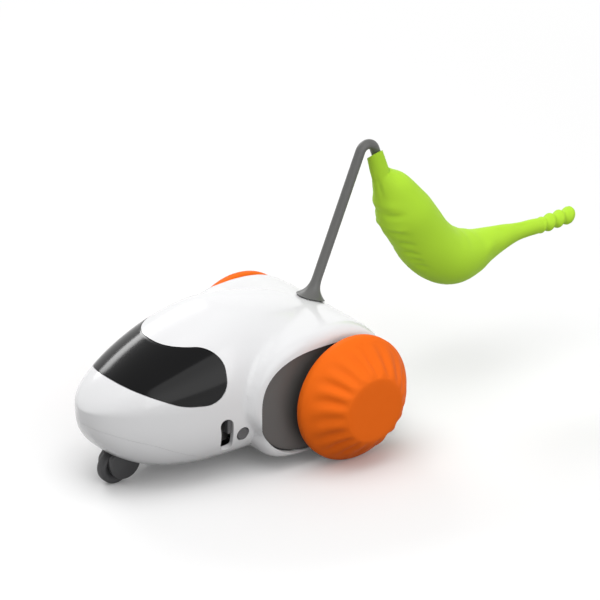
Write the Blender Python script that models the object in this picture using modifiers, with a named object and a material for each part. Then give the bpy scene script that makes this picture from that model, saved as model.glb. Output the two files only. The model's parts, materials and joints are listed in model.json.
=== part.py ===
"""Interactive cat toy: an egg-shaped car with two wheels, a caster, and a lure on a pole.

Metres, +Z up. The floor is z = 0, the nose points to -Y, and the toy's left side is +X.
Lengths along the toy are counted from the wheel axle: ahead of it they are negative.
"""
import math

import bmesh
import bpy
from mathutils import Matrix, Vector

# Running gap between touching pieces, and how far a cutter overruns its piece
GAP = 0.0003
OVERRUN = 0.004
WELD = 0.00001

# Wheels
WHEEL_R = 0.0285
WHEEL_OUTER_X = 0.0583
WHEEL_RIM_X = 0.0434
WHEEL_BACK_X = 0.0394
WHEEL_BACK_R = 0.0276
WHEEL_SHOULDER_X = 0.0465
WHEEL_SHOULDER_R = 0.0262
WHEEL_HUB_R = 0.0146
WHEEL_COVER_WALL = 0.0021
WHEEL_RIPPLES = 26
RIPPLE_DEPTH = 0.00045
DOME_SHARES = ((1.00, 0.00), (0.90, 0.16), (0.50, 0.57), (0.00, 1.00))
CORE_WALL = 0.0020
CORE_BOSS_R = 0.0040
CORE_WEB = 0.0020
CORE_BACK_X = 0.0360
CORE_SCREW_WELL_R = 0.0046
WHEEL_SCREW_R = 0.0010
WHEEL_SCREW_HEAD_R = 0.0026
WHEEL_SCREW_HEAD = 0.0014
WHEEL_SCREW_LENGTH = 0.0080

# Body, an egg with a drum across it that makes the wheel shoulders
SHELL_WALL = 0.0020
VISOR_WALL = 0.0016
NOSE_REACH = 0.1120
TAIL_REACH = 0.0405
NOSE_Z = 0.0385
TAIL_Z = 0.0295
EGG_HALF_WIDTH = 0.0314
EGG_WIDEST_SHARE = 0.4563
EGG_WIDEST_AHEAD = NOSE_REACH * EGG_WIDEST_SHARE
EGG_ROOF_Z = 0.0704
EGG_ROOF_SHARE = 0.3857
EGG_ROOF_AHEAD = NOSE_REACH * EGG_ROOF_SHARE
EGG_BELLY_Z = 0.0064
EGG_BELLY_SHARE = 0.5616
EGG_BELLY_AHEAD = NOSE_REACH * EGG_BELLY_SHARE
EGG_NOSE_PLAN_POWERS = (1.71, 2.16)
EGG_TAIL_PLAN_POWERS = (2.4, 2.4)
EGG_NOSE_ROOF_POWERS = (1.59, 1.31)
EGG_TAIL_ROOF_POWERS = (1.76, 1.33)
EGG_NOSE_BELLY_POWERS = (2.03, 2.41)
EGG_TAIL_BELLY_POWERS = (2.0, 2.4)
EGG_UPPER_POWER = 2.42
EGG_LOWER_POWER = 3.0
DRUM_HALF_WIDTH = 0.0360
DRUM_AHEAD = 0.0095
DRUM_Z = 0.0300
DRUM_FRONT_REACH = 0.0400
DRUM_REAR_REACH = 0.0356
DRUM_RISE = 0.0310
DRUM_DROP = 0.0252
DRUM_UPPER_POWER = 2.40
DRUM_LOWER_POWER = 2.8
DRUM_SIDE_POWER = 12.0
DRUM_SHOULDER_POWER = 12.0
SHOULDER_START_Z = 0.0340
SHOULDER_FULL_Z = 0.0540
BELLY_FLAT_Z = 0.0050
UPPER_BLEND_SHARE = 0.03
LOWER_BLEND_SHARE = 0.004
BLEND_LOW_Z = 0.0200
BLEND_HIGH_Z = 0.0280
SEARCH_REACH = 0.0800
SEARCH_STEPS = 26
SKIN_SIDES = 26
SKIN_STATIONS = 28
SKIN_CORNER_SHARE = 0.35

# Parting line of the shells, seen from the side: shares of the way from its rear to the nose, and heights
PARTING_REAR = 0.0320
PARTING_SHARES = (1.0, 0.9125, 0.825, 0.7375, 0.6, 0.475, 0.3625, 0.2625, 0.175, 0.1, 0.0)
PARTING_HEIGHTS = (0.0324, 0.0301, 0.0272, 0.0246, 0.0190, 0.0145, 0.0122, 0.0130, 0.0172, 0.0197, 0.0200)
PARTING_TAIL_Z = 0.0200

# Visor, seen from the side: (behind the nose, height, corner radius)
VISOR_CORNERS = (
    (-0.0030, 0.0618, 0.0), (0.0554, 0.0618, 0.0085), (0.0538, 0.0382, 0.0100),
    (0.0340, 0.0406, 0.0300), (0.0134, 0.0503, 0.0), (-0.0030, 0.0580, 0.0),
)

# Side panels behind the wheels
PANEL_FACE_X = 0.0340
PANEL_THICKNESS = 0.0030
PANEL_AHEAD = 0.0100
PANEL_Z = 0.0300
PANEL_REACH = 0.0340
PANEL_RISE = 0.0237
PANEL_DROP = 0.0223
PANEL_POWER = 2.7

# Axles, bushes and gearboxes
AXLE_R = 0.0015
AXLE_INNER_X = 0.0155
AXLE_OUTER_X = 0.0515
BUSH_R = 0.0032
BUSH_FLANGE_R = 0.0046
BUSH_FLANGE = 0.0009
GEARBOX_INNER_X = 0.0170
GEARBOX_OUTER_X = 0.0307
GEARBOX_WALL = 0.0020
GEARBOX_AHEAD = 0.0140
GEARBOX_Z = 0.0285
GEARBOX_REACH = 0.0230
GEARBOX_RISE = 0.0150
GEARBOX_POWER = 3.5
GEARBOX_FLOOR_Z = 0.0120
GEARBOX_FLOOR_FRONT = 0.0340
GEARBOX_FLOOR_REAR = 0.0060
MODULE = 0.0008
MOTOR_TEETH = 9
IDLER_TEETH = 22
IDLER_PINION_TEETH = 10
OUTPUT_TEETH = 26
ADDENDUM_SHARE = 0.75
DEDENDUM_SHARE = 1.15
TOOTH_TIP_SHARE = 0.10
TOOTH_ROOT_SHARE = 0.30
FIRST_STAGE_X = 0.0200
FIRST_STAGE_WIDTH = 0.0030
SECOND_STAGE_X = 0.0243
SECOND_STAGE_WIDTH = 0.0034
IDLER_PIN_R = 0.0010
MOTOR_R = 0.0060
MOTOR_FLAT = 0.0050
MOTOR_LENGTH = 0.0150
MOTOR_NOSE_R = 0.0020
MOTOR_SHAFT_R = 0.00075
MOTOR_SHAFT_DEPTH = 0.0060

# Swivel caster under the nose
CASTER_BEHIND_NOSE = 0.0195
CASTER_AHEAD = NOSE_REACH - CASTER_BEHIND_NOSE
CASTER_TRAIL = 0.0040
CASTER_WHEEL_R = 0.0075
CASTER_WHEEL_WIDTH = 0.0046
CASTER_WHEEL_ROUND = 0.0020
CASTER_PIN_R = 0.0010
CASTER_PIN_LENGTH = 0.0090
CHEEK_R = 0.0062
CHEEK_TRAIL = 0.0030
CHEEK_Z = 0.0095
CHEEK_THICKNESS = 0.0022
CHEEK_INNER_X = 0.0030
FORK_PLATE_R = 0.0070
FORK_PLATE = 0.0020
FORK_PLATE_Z = 0.0155
FORK_ARM_LENGTH = 0.0090
STEM_R = 0.0015
WELL_R = 0.0126
WELL_WALL = 0.0014
WELL_TOP_Z = 0.0178
STEM_BOSS_R = 0.0036
STEM_TOP_Z = 0.0230
CASTER_SCREW_HEAD_R = 0.0028
CASTER_SCREW_HEAD = 0.0012
CASTER_SCREW_LENGTH = 0.0045

# Power switch in its slot, and the push button beside it, on the left side
SLOT_AHEAD = 0.0588
SLOT_LOW_Z = 0.0146
SLOT_HIGH_Z = 0.0307
SLOT_WIDTH = 0.0065
SWITCH_INNER_X = 0.0200
SWITCH_FACE_X = 0.0252
SWITCH_LOW_Z = 0.0182
SWITCH_HIGH_Z = 0.0300
SWITCH_LENGTH = 0.0086
KNOB_HEIGHT = 0.0070
KNOB_WIDTH = 0.0053
KNOB_DEPTH = 0.0034
KNOB_RIBS = 4
KNOB_RIB = 0.0005
KNOB_TOP_MARGIN = 0.0006
KNOB_STEM = 0.0022
KNOB_TRAVEL = 0.0060
BUTTON_BEHIND_SLOT = 0.0088
BUTTON_AHEAD = SLOT_AHEAD - BUTTON_BEHIND_SLOT
BUTTON_Z = 0.0213
BUTTON_R = 0.0029
BUTTON_FACE_X = 0.0312
BUTTON_BACK_X = 0.0252
BUTTON_FLANGE_R = 0.0036
BUTTON_FLANGE = 0.0008
BUTTON_ROUND = 0.0006
BUTTON_TRAVEL = 0.0008
TACT_SIZE = 0.0060
TACT_FACE_X = 0.0232
TACT_PLUNGER_R = 0.0016
SIDE_BOARD_X = 0.0184
SIDE_BOARD_THICKNESS = 0.0012
SIDE_BOARD_FRONT_MARGIN = 0.0062
SIDE_BOARD_REAR_MARGIN = 0.0045
SIDE_BOARD_LOW_Z = 0.0160
SIDE_BOARD_HIGH_Z = 0.0330

# Boards, battery and charging socket
BOARD_THICKNESS = 0.0012
BOARD_Z = 0.0300
BOARD_BEHIND_NOSE = 0.0320
BOARD_FRONT = NOSE_REACH - BOARD_BEHIND_NOSE
BOARD_REAR = 0.0380
BOARD_HALF_WIDTH = 0.0181
BOARD_POST_R = 0.0023
BOARD_POST_INSET_X = 0.0030
BOARD_POST_INSET = 0.0032
BOARD_SCREW_R = 0.0008
BOARD_SCREW_HEAD_R = 0.0016
BOARD_SCREW_HEAD = 0.0010
BOARD_SCREW_LENGTH = 0.0050
SCREWED_POSTS = (0, 3)
BATTERY_BEHIND_CASTER = 0.0180
BATTERY_FRONT = CASTER_AHEAD - BATTERY_BEHIND_CASTER
BATTERY_REAR = 0.0405
BATTERY_HALF_WIDTH = 0.0085
BATTERY_LOW_Z = 0.0135
BATTERY_HEIGHT = 0.0085
TRAY_WALL = 0.0012
TRAY_HEIGHT = 0.0045
SENSOR_BOARD_HALF_WIDTH = 0.0090
SENSOR_BOARD_HEIGHT = 0.0160
SENSOR_BOARD_INSET = 0.0004
EMITTER_R = 0.0015
EMITTER_LENGTH = 0.0040
EMITTER_X = 0.0060
EMITTER_DROP = 0.0040
RECEIVER_WIDTH = 0.0050
RECEIVER_HEIGHT = 0.0055
RECEIVER_DEPTH = 0.0035
SOCKET_WIDTH = 0.0090
SOCKET_HEIGHT = 0.0032
SOCKET_LENGTH = 0.0075
SOCKET_WALL = 0.0004
SOCKET_INSET = 0.0033
SOCKET_REACH = TAIL_REACH - SOCKET_INSET
SOCKET_Z = 0.0290
SOCKET_HOLE_WIDTH = 0.0098
SOCKET_HOLE_HEIGHT = 0.0040
CHARGE_BOARD_LENGTH = 0.0120
CHARGE_BOARD_WIDTH = 0.0120
CHARGE_POST_R = 0.0020

# Screws that hold the shells together and the gearboxes down
FRONT_SCREW_X = 0.0170
FRONT_SCREW_BEHIND_NOSE = 0.0240
REAR_SCREW_X = 0.0105
REAR_SCREW_BEFORE_TAIL = 0.0190
SHELL_SCREW_R = 0.0011
SHELL_SCREW_HEAD_R = 0.0021
SHELL_SCREW_HEAD = 0.0014
SHELL_SCREW_LENGTH = 0.0100
SHELL_BOSS_R = 0.0030
SHELL_SCREW_SEAT = 0.0040
FRONT_BOSS_TOP_Z = 0.0340
REAR_BOSS_TOP_Z = 0.0540
BOSS_RIB_LENGTH = 0.0090
BOSS_RIB = 0.0014
GEARBOX_SCREW_X = 0.0240
GEARBOX_SCREW_PLACES = (0.0300, -0.0020)
GEARBOX_SCREW_R = 0.0010
GEARBOX_SCREW_HEAD_R = 0.0019
GEARBOX_SCREW_HEAD = 0.0012
GEARBOX_SCREW_LENGTH = 0.0050
GEARBOX_BOSS_R = 0.0028

# Pole with its foot and hook, in the plane x = 0
POLE_R = 0.0022
POLE_FOOT_BEHIND = 0.0087
POLE_FOOT_Z = 0.0580
POLE_LEAN = math.radians(23.4)
POLE_LENGTH = 0.0680
HOOK_R = 0.0042
HOOK_TURN = math.radians(136.6)
HOOK_STRAIGHT = 0.0030
HOOK_TIP = 0.0090
FOOT_R = 0.0066
FOOT_HEIGHT = 0.0115
FOOT_EDGE = 0.0007
FOOT_CURVE_POWER = 3.8
PLUG_R = 0.0023
PLUG_LENGTH = 0.0080
SOCKET_BOSS_R = 0.0044
SOCKET_BOSS_LENGTH = 0.0090

# Lure: (share of its run, share of its drop, share of its bulb radius)
LURE_RUN = 0.1114
LURE_DROP = 0.0520
LURE_BULB_R = 0.01345
LURE_NECK = 0.0100
LURE_MOUTH_R = 0.0038
LURE_NECK_R = 0.0043
LURE_MOUTH_SHIFT = 0.0008
LURE_NECK_SHIFT = 0.0012
LURE_WALL = 0.0020
LURE_BORE_DEPTH = 0.0290
LURE_SHAPE_SHARES = (
    (0.036, 0.843, 0.585), (0.072, 0.731, 0.788), (0.111, 0.583, 0.945), (0.166, 0.413, 0.970),
    (0.219, 0.244, 0.996), (0.288, 0.104, 1.000), (0.361, 0.029, 0.970), (0.446, 0.016, 0.810),
    (0.519, 0.034, 0.608), (0.603, 0.056, 0.456), (0.704, 0.064, 0.304), (0.823, 0.054, 0.262),
)
LURE_CAVITY_SHARES = LURE_SHAPE_SHARES[1:10]
LURE_END_SHARES = (1.0, 0.070)
RIB_COUNT = 3
RIB_PITCH = 0.0050
END_BEVEL_SHARE = 0.8
RIB_R = 0.0042
RIB_ROOT_R = 0.0030
LURE_END_R = 0.0041
LURE_END_THICKNESS = 0.0018
LURE_SIDES = 12

ROUND_SIDES = 16
SMALL_SIDES = 10
SCREW_SIDES = 8

# Finishes: colour, roughness, metallic
FINISHES = {
    "white_plastic": ((0.86, 0.86, 0.87, 1), 0.22, 0.0),
    "visor_black": ((0.012, 0.012, 0.014, 1), 0.06, 0.0),
    "panel_grey": ((0.105, 0.098, 0.092, 1), 0.45, 0.0),
    "wheel_orange": ((0.86, 0.13, 0.012, 1), 0.5, 0.0),
    "core_black": ((0.03, 0.03, 0.03, 1), 0.5, 0.0),
    "caster_grey": ((0.05, 0.05, 0.052, 1), 0.5, 0.0),
    "control_grey": ((0.09, 0.09, 0.092, 1), 0.4, 0.0),
    "pole_grey": ((0.15, 0.15, 0.145, 1), 0.45, 0.0),
    "lure_green": ((0.48, 0.75, 0.05, 1), 0.5, 0.0),
    "steel": ((0.6, 0.6, 0.6, 1), 0.3, 1.0),
    "bronze": ((0.55, 0.36, 0.16, 1), 0.4, 1.0),
    "gearbox_black": ((0.02, 0.02, 0.022, 1), 0.5, 0.0),
    "gear_white": ((0.7, 0.68, 0.6, 1), 0.45, 0.0),
    "board_green": ((0.02, 0.16, 0.06, 1), 0.5, 0.0),
    "battery_blue": ((0.05, 0.16, 0.45, 1), 0.4, 0.0),
    "component_black": ((0.015, 0.015, 0.015, 1), 0.4, 0.0),
}


def hook_places():
    """Where the pole's straight, its hook and the lure's neck end, as (behind the axle, height)."""
    along = Vector((math.sin(POLE_LEAN), math.cos(POLE_LEAN)))
    side = Vector((along.y, -along.x))
    foot = Vector((POLE_FOOT_BEHIND, POLE_FOOT_Z))
    top = foot + along * POLE_LENGTH
    centre = top + side * HOOK_R
    tip_along = Vector((math.sin(POLE_LEAN + HOOK_TURN), math.cos(POLE_LEAN + HOOK_TURN)))
    tip_side = Vector((tip_along.y, -tip_along.x))
    arc_end = centre - tip_side * HOOK_R
    mouth = arc_end + tip_along * HOOK_STRAIGHT
    return foot, along, centre, arc_end, mouth, tip_along


FOOT, POLE_ALONG, HOOK_CENTRE, HOOK_END, LURE_MOUTH, TIP_ALONG = hook_places()
NECK_END = LURE_MOUTH + TIP_ALONG * LURE_NECK
LURE_REACH = NECK_END.x + LURE_RUN
AXLE_Y = (NOSE_REACH - LURE_REACH) / 2
AXLE_Z = WHEEL_R
SIDES = (("left", 1), ("right", -1))

IDLER_AHEAD = (IDLER_PINION_TEETH + OUTPUT_TEETH) * MODULE / 2
MOTOR_AHEAD = IDLER_AHEAD + (MOTOR_TEETH + IDLER_TEETH) * MODULE / 2


def ahead(distance):
    """The y of a place that is so far ahead of the axle."""
    return AXLE_Y - distance


def behind(distance):
    """The y of a place that is so far behind the axle."""
    return AXLE_Y + distance


def clear_scene():
    for old in list(bpy.data.objects):
        bpy.data.objects.remove(old, do_unlink=True)


def new_collection(name):
    collection = bpy.data.collections.new(name)
    bpy.context.scene.collection.children.link(collection)
    return collection


clear_scene()
TOY = new_collection("interactive_cat_toy")
TOOLS = new_collection("cutters")


def make_materials():
    materials = {}
    for name, (colour, roughness, metallic) in FINISHES.items():
        material = bpy.data.materials.new(name)
        material.use_nodes = True
        shader = material.node_tree.nodes["Principled BSDF"]
        shader.inputs["Base Color"].default_value = colour
        shader.inputs["Roughness"].default_value = roughness
        shader.inputs["Metallic"].default_value = metallic
        material.diffuse_color = colour
        materials[name] = material
    return materials


MATERIALS = make_materials()


def add_object(name, mesh, finish=None):
    """Link a mesh as a finished piece, or as a hidden cutter where it has no finish."""
    piece = bpy.data.objects.new(name, mesh)
    if finish:
        TOY.objects.link(piece)
        mesh.materials.append(MATERIALS[finish])
    else:
        TOOLS.objects.link(piece)
        piece.hide_render = True
        piece.display_type = "WIRE"
    return piece


def from_bmesh(name, shape, finish=None):
    mesh = bpy.data.meshes.new(name)
    shape.to_mesh(mesh)
    shape.free()
    return add_object(name, mesh, finish)


def evaluated_mesh(piece):
    bpy.context.view_layer.update()
    graph = bpy.context.evaluated_depsgraph_get()
    return bpy.data.meshes.new_from_object(piece.evaluated_get(graph))


def weld_mesh(mesh):
    shape = bmesh.new()
    shape.from_mesh(mesh)
    bmesh.ops.remove_doubles(shape, verts=shape.verts, dist=WELD)
    bmesh.ops.recalc_face_normals(shape, faces=shape.faces)
    shape.to_mesh(mesh)
    shape.free()


def boolean(piece, tool, operation):
    modifier = piece.modifiers.new(operation.title(), "BOOLEAN")
    modifier.operation = operation
    modifier.solver = "EXACT"
    modifier.object = tool
    return piece


def cut(piece, *tools):
    for tool in tools:
        boolean(piece, tool, "DIFFERENCE")
    return piece


def join(piece, *tools):
    for tool in tools:
        boolean(piece, tool, "UNION")
    return piece


def keep_inside(piece, tool):
    return boolean(piece, tool, "INTERSECT")


def block(name, low, high, finish=None):
    """A box from its lowest to its highest corner."""
    low, high = Vector(low), Vector(high)
    shape = bmesh.new()
    bmesh.ops.create_cube(shape, size=1.0)
    bmesh.ops.scale(shape, vec=high - low, verts=shape.verts)
    bmesh.ops.translate(shape, vec=(low + high) / 2, verts=shape.verts)
    return from_bmesh(name, shape, finish)


def rod(name, radius, start, end, finish=None, sides=SMALL_SIDES):
    """A round bar from start to end."""
    start, end = Vector(start), Vector(end)
    along = end - start
    turn = along.to_track_quat("Z", "Y").to_matrix().to_4x4()
    shape = bmesh.new()
    bmesh.ops.create_cone(shape, cap_ends=True, segments=sides, radius1=radius, radius2=radius,
                          depth=along.length, matrix=Matrix.Translation((start + end) / 2) @ turn)
    return from_bmesh(name, shape, finish)


def outline_solid(name, outlines, low, high, axis="X", finish=None):
    """Flat outlines drawn as a 2D curve, an inner one being a hole, extruded from low to high.

    An outline's points are (y, z) for axis X, (x, z) for axis Y and (x, y) for axis Z.
    """
    curve = bpy.data.curves.new(name, "CURVE")
    curve.dimensions = "2D"
    curve.fill_mode = "BOTH"
    curve.extrude = abs(high - low) / 2
    for outline in outlines:
        spline = curve.splines.new("POLY")
        spline.points.add(len(outline) - 1)
        for point, (across, up) in zip(spline.points, outline):
            point.co = (across, up, 0, 1)
        spline.use_cyclic_u = True
    drawn = bpy.data.objects.new(name + "_outline", curve)
    TOOLS.objects.link(drawn)
    mesh = evaluated_mesh(drawn)
    bpy.data.objects.remove(drawn, do_unlink=True)
    bpy.data.curves.remove(curve)
    columns = {"X": ((0, 1, 0), (0, 0, 1), (1, 0, 0)),
               "Y": ((1, 0, 0), (0, 0, 1), (0, -1, 0)),
               "Z": ((1, 0, 0), (0, 1, 0), (0, 0, 1))}[axis]
    place = Matrix(columns).transposed().to_4x4()
    place.translation = Vector((axis == "X", axis == "Y", axis == "Z")) * ((low + high) / 2)
    mesh.transform(place)
    weld_mesh(mesh)
    mesh.name = name
    return add_object(name, mesh, finish)


def turned(name, profile, centre, axis, finish=None, sides=ROUND_SIDES):
    """A profile of (radius, height) points, top to bottom, turned round an axis through centre."""
    mesh = bpy.data.meshes.new(name)
    closed = profile[0][0] > 0
    count = len(profile)
    edges = [(i, (i + 1) % count) for i in range(count if closed else count - 1)]
    mesh.from_pydata([(radius, 0, height) for radius, height in profile], edges, [])
    piece = add_object(name, mesh, finish)
    screw = piece.modifiers.new("Turn", "SCREW")
    screw.axis = "Z"
    screw.steps = sides
    screw.render_steps = sides
    screw.use_merge_vertices = True
    screw.merge_threshold = WELD
    turn = Vector(axis).to_track_quat("Z", "Y").to_matrix().to_4x4()
    piece.matrix_world = Matrix.Translation(Vector(centre)) @ turn
    return piece


def smooth_line(points, steps):
    """A smooth line through the points, with the given steps between each two (Catmull-Rom)."""
    line = []
    for i in range(len(points) - 1):
        before = points[max(i - 1, 0)]
        after = points[min(i + 2, len(points) - 1)]
        for k in range(steps):
            t = k / steps
            line.append(tuple(
                0.5 * (2 * b + (c - a) * t + (2 * a - 5 * b + 4 * c - d) * t * t
                       + (3 * b - a - 3 * c + d) * t ** 3)
                for a, b, c, d in zip(before, points[i], points[i + 1], after)))
    line.append(tuple(points[-1]))
    return line


def superellipse(centre, reaches, powers, count):
    """A closed outline round centre; reaches are front, rear, up and down, powers are up and down."""
    front, rear, up, down = reaches
    outline = []
    for i in range(count):
        angle = math.tau * i / count
        c, s = math.cos(angle), math.sin(angle)
        power = powers[0] if s >= 0 else powers[1]
        u = (rear if c >= 0 else front) * math.copysign(abs(c) ** (2 / power), c)
        v = (up if s >= 0 else down) * math.copysign(abs(s) ** (2 / power), s)
        outline.append((centre[0] + u, centre[1] + v))
    return outline


def circle(centre, radius, sides=SMALL_SIDES):
    return [(centre[0] + radius * math.cos(math.tau * i / sides),
             centre[1] + radius * math.sin(math.tau * i / sides)) for i in range(sides)]


def stadium(centre, width, height, sides=4):
    """An upright slot outline with round ends."""
    radius = width / 2
    straight = height / 2 - radius
    arc = [math.pi * i / sides for i in range(sides + 1)]
    top = [(centre[0] + radius * math.cos(a), centre[1] + straight + radius * math.sin(a)) for a in arc]
    bottom = [(centre[0] - radius * math.cos(a), centre[1] - straight - radius * math.sin(a)) for a in arc]
    return top + bottom


def moved_edges(corners, distance):
    """Corners (u, v, radius) of a polygon whose edges all move outwards by distance."""
    count = len(corners)
    area = sum(corners[i][0] * corners[(i + 1) % count][1] - corners[(i + 1) % count][0] * corners[i][1]
               for i in range(count))
    turn = 1 if area > 0 else -1
    moved = []
    for i, (u, v, radius) in enumerate(corners):
        here = Vector((u, v))
        into = (here - Vector(corners[i - 1][:2])).normalized()
        out = (Vector(corners[(i + 1) % count][:2]) - here).normalized()
        normals = [Vector((along.y, -along.x)) * turn for along in (into, out)]
        middle = (normals[0] + normals[1]).normalized()
        place = here + middle * (distance / middle.dot(normals[0]))
        convex = (into.x * out.y - into.y * out.x) * turn > 0
        grown = max(radius + (distance if convex else -distance), 0) if radius else 0
        moved.append((place.x, place.y, grown))
    return moved


def rounded(corners, steps=5):
    """The outline of a polygon whose corners (u, v, radius) are rounded with arcs."""
    outline = []
    count = len(corners)
    for i, (u, v, radius) in enumerate(corners):
        here = Vector((u, v))
        if not radius:
            outline.append((u, v))
            continue
        back = (Vector(corners[i - 1][:2]) - here).normalized()
        on = (Vector(corners[(i + 1) % count][:2]) - here).normalized()
        half = back.angle(on) / 2
        middle = (back + on).normalized()
        centre = here + middle * (radius / math.sin(half))
        start = here + back * (radius / math.tan(half)) - centre
        end = here + on * (radius / math.tan(half)) - centre
        sweep = start.angle_signed(end)
        for k in range(steps + 1):
            angle = -sweep * k / steps
            c, s = math.cos(angle), math.sin(angle)
            outline.append((centre.x + start.x * c - start.y * s,
                            centre.y + start.x * s + start.y * c))
    return outline


def smooth_step(value, low, high):
    share = min(max((value - low) / (high - low), 0), 1)
    return share * share * (3 - 2 * share)


def fullness(station, crest, front_powers, rear_powers):
    """How full the egg is at a station: 1 at its crest, 0 at the nose and the tail."""
    if station < crest:
        share, (rise, fall) = (crest - station) / (crest + NOSE_REACH), front_powers
    else:
        share, (rise, fall) = (station - crest) / (TAIL_REACH - crest), rear_powers
    return max(1 - min(share, 1) ** rise, 0) ** (1 / fall)


def belt_height(station):
    """The height of the egg's widest line, which falls from the nose to the tail."""
    return NOSE_Z + (TAIL_Z - NOSE_Z) * (station + NOSE_REACH) / (NOSE_REACH + TAIL_REACH)


def egg_value(x, station, z):
    """Under 1 inside the egg and over 1 outside it."""
    belt = belt_height(station)
    half = EGG_HALF_WIDTH * fullness(station, -EGG_WIDEST_AHEAD, EGG_NOSE_PLAN_POWERS, EGG_TAIL_PLAN_POWERS)
    if z > belt:
        reach = (EGG_ROOF_Z - belt) * fullness(station, -EGG_ROOF_AHEAD, EGG_NOSE_ROOF_POWERS,
                                               EGG_TAIL_ROOF_POWERS)
        power = EGG_UPPER_POWER
    else:
        reach = (belt - EGG_BELLY_Z) * fullness(station, -EGG_BELLY_AHEAD, EGG_NOSE_BELLY_POWERS,
                                                EGG_TAIL_BELLY_POWERS)
        power = EGG_LOWER_POWER
    half, reach = max(half, WELD), max(reach, WELD)
    return ((abs(x) / half) ** power + (abs(z - belt) / reach) ** power) ** (1 / power)


def drum_value(x, station, z):
    """Under 1 inside the drum that makes the wheel shoulders and over 1 outside it."""
    along, up = station + DRUM_AHEAD, z - DRUM_Z
    reach = DRUM_FRONT_REACH if along < 0 else DRUM_REAR_REACH
    height, power = (DRUM_RISE, DRUM_UPPER_POWER) if up > 0 else (DRUM_DROP, DRUM_LOWER_POWER)
    round_value = ((abs(along) / reach) ** power + (abs(up) / height) ** power) ** (1 / power)
    side = DRUM_SIDE_POWER + (DRUM_SHOULDER_POWER - DRUM_SIDE_POWER) * smooth_step(
        z, SHOULDER_START_Z, SHOULDER_FULL_Z)
    return ((abs(x) / DRUM_HALF_WIDTH) ** side + round_value ** side) ** (1 / side)


def body_value(x, station, z):
    """Egg and drum together, blended softly above and meeting in a crease below."""
    egg, drum = egg_value(x, station, z), drum_value(x, station, z)
    high = smooth_step(z, BLEND_LOW_Z, BLEND_HIGH_Z)
    soft = LOWER_BLEND_SHARE + (UPPER_BLEND_SHARE - LOWER_BLEND_SHARE) * high
    mix = min(max(0.5 + 0.5 * (drum - egg) / soft, 0), 1)
    return drum * (1 - mix) + egg * mix - soft * mix * (1 - mix)


def skin_radius(station, angle):
    """How far the skin lies from the belt's middle at a station, in the direction of angle."""
    belt = belt_height(station)
    c, s = math.cos(angle), math.sin(angle)
    inner, outer = 0.0, SEARCH_REACH
    for _ in range(SEARCH_STEPS):
        middle = (inner + outer) / 2
        if body_value(middle * c, station, belt + middle * s) < 1:
            inner = middle
        else:
            outer = middle
    return inner


def skin(name, offset=0.0, finish=None):
    """The body's closed skin, moved outwards by offset: a sphere whose points go to the formula."""
    shape = bmesh.new()
    bmesh.ops.create_uvsphere(shape, u_segments=SKIN_SIDES, v_segments=SKIN_STATIONS, radius=1.0)
    middle = (TAIL_REACH - NOSE_REACH) / 2
    half = (TAIL_REACH + NOSE_REACH) / 2
    for vertex in shape.verts:
        x, y, z = vertex.co
        at_pole = math.hypot(x, y) < WELD
        angle = 0.0 if at_pole else math.atan2(y, x)
        angle += SKIN_CORNER_SHARE * math.sin(4 * angle) / 4
        station = middle + half * z
        belt = belt_height(station)
        radius = 0.0 if at_pole else skin_radius(station, angle) + offset
        height = max(belt + radius * math.sin(angle), BELLY_FLAT_Z - offset)
        stretch = offset * z
        vertex.co = (radius * math.cos(angle), AXLE_Y + station + stretch, height)
    bmesh.ops.recalc_face_normals(shape, faces=shape.faces)
    piece = from_bmesh(name, shape, finish)
    piece.data.shade_smooth()
    return piece


def walled_skin(name, wall, finish):
    """The skin as a shell whose wall grows inwards."""
    piece = skin(name, 0.0, finish)
    solidify = piece.modifiers.new("Wall", "SOLIDIFY")
    solidify.thickness = wall
    solidify.offset = -1
    solidify.use_even_offset = True
    return piece


def cut_panel_openings(shell):
    for name, sign in SIDES:
        low, high = sorted((sign * (PANEL_FACE_X - PANEL_THICKNESS - GAP), sign * BODY_SPAN))
        cut(shell, outline_solid(f"{name}_panel_opening", [panel_outline(0)], low, high))


def inner_space(name):
    """The space inside the shells, less a gap, that carried pieces are trimmed to."""
    return skin(name, -(SHELL_WALL + GAP))


BODY_SPAN = DRUM_HALF_WIDTH + OVERRUN
LOW_END = -OVERRUN
HIGH_END = EGG_ROOF_Z + OVERRUN


def parting_points():
    """The parting line's points as (ahead of the axle, height), nose first."""
    return [(PARTING_REAR + share * (NOSE_REACH - PARTING_REAR), z)
            for share, z in zip(PARTING_SHARES, PARTING_HEIGHTS)]


def parting_outline(shift, far_z):
    """The region on one side of the parting line, which is moved up by shift."""
    line = smooth_line([(ahead(place), z + shift) for place, z in parting_points()], 2)
    front = (ahead(NOSE_REACH) - OVERRUN, line[0][1])
    rear = (behind(TAIL_REACH) + OVERRUN, PARTING_TAIL_Z + shift)
    return [(front[0], far_z), front] + line + [rear, (rear[0], far_z)]


def parting_height(distance_ahead):
    """The parting line's height at a place so far ahead of the axle."""
    line = [(-place, z) for place, z in parting_points()] + [(TAIL_REACH, PARTING_TAIL_Z)]
    place = -distance_ahead
    for (y0, z0), (y1, z1) in zip(line, line[1:]):
        if y0 <= place <= y1:
            return z0 + (z1 - z0) * (place - y0) / (y1 - y0)
    return PARTING_TAIL_Z


def panel_outline(clearance):
    return superellipse((ahead(PANEL_AHEAD), PANEL_Z),
                        (PANEL_REACH - clearance, PANEL_REACH - clearance,
                         PANEL_RISE - clearance, PANEL_DROP - clearance),
                        (PANEL_POWER, PANEL_POWER), 28)


def visor_outline(grow):
    corners = [(ahead(NOSE_REACH - inset), z, radius) for inset, z, radius in VISOR_CORNERS]
    return rounded(moved_edges(corners, grow))


def pole_point(distance):
    """A point on the pole's straight axis, so far above its foot."""
    place = FOOT + POLE_ALONG * distance
    return Vector((0, behind(place.x), place.y))


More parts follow.
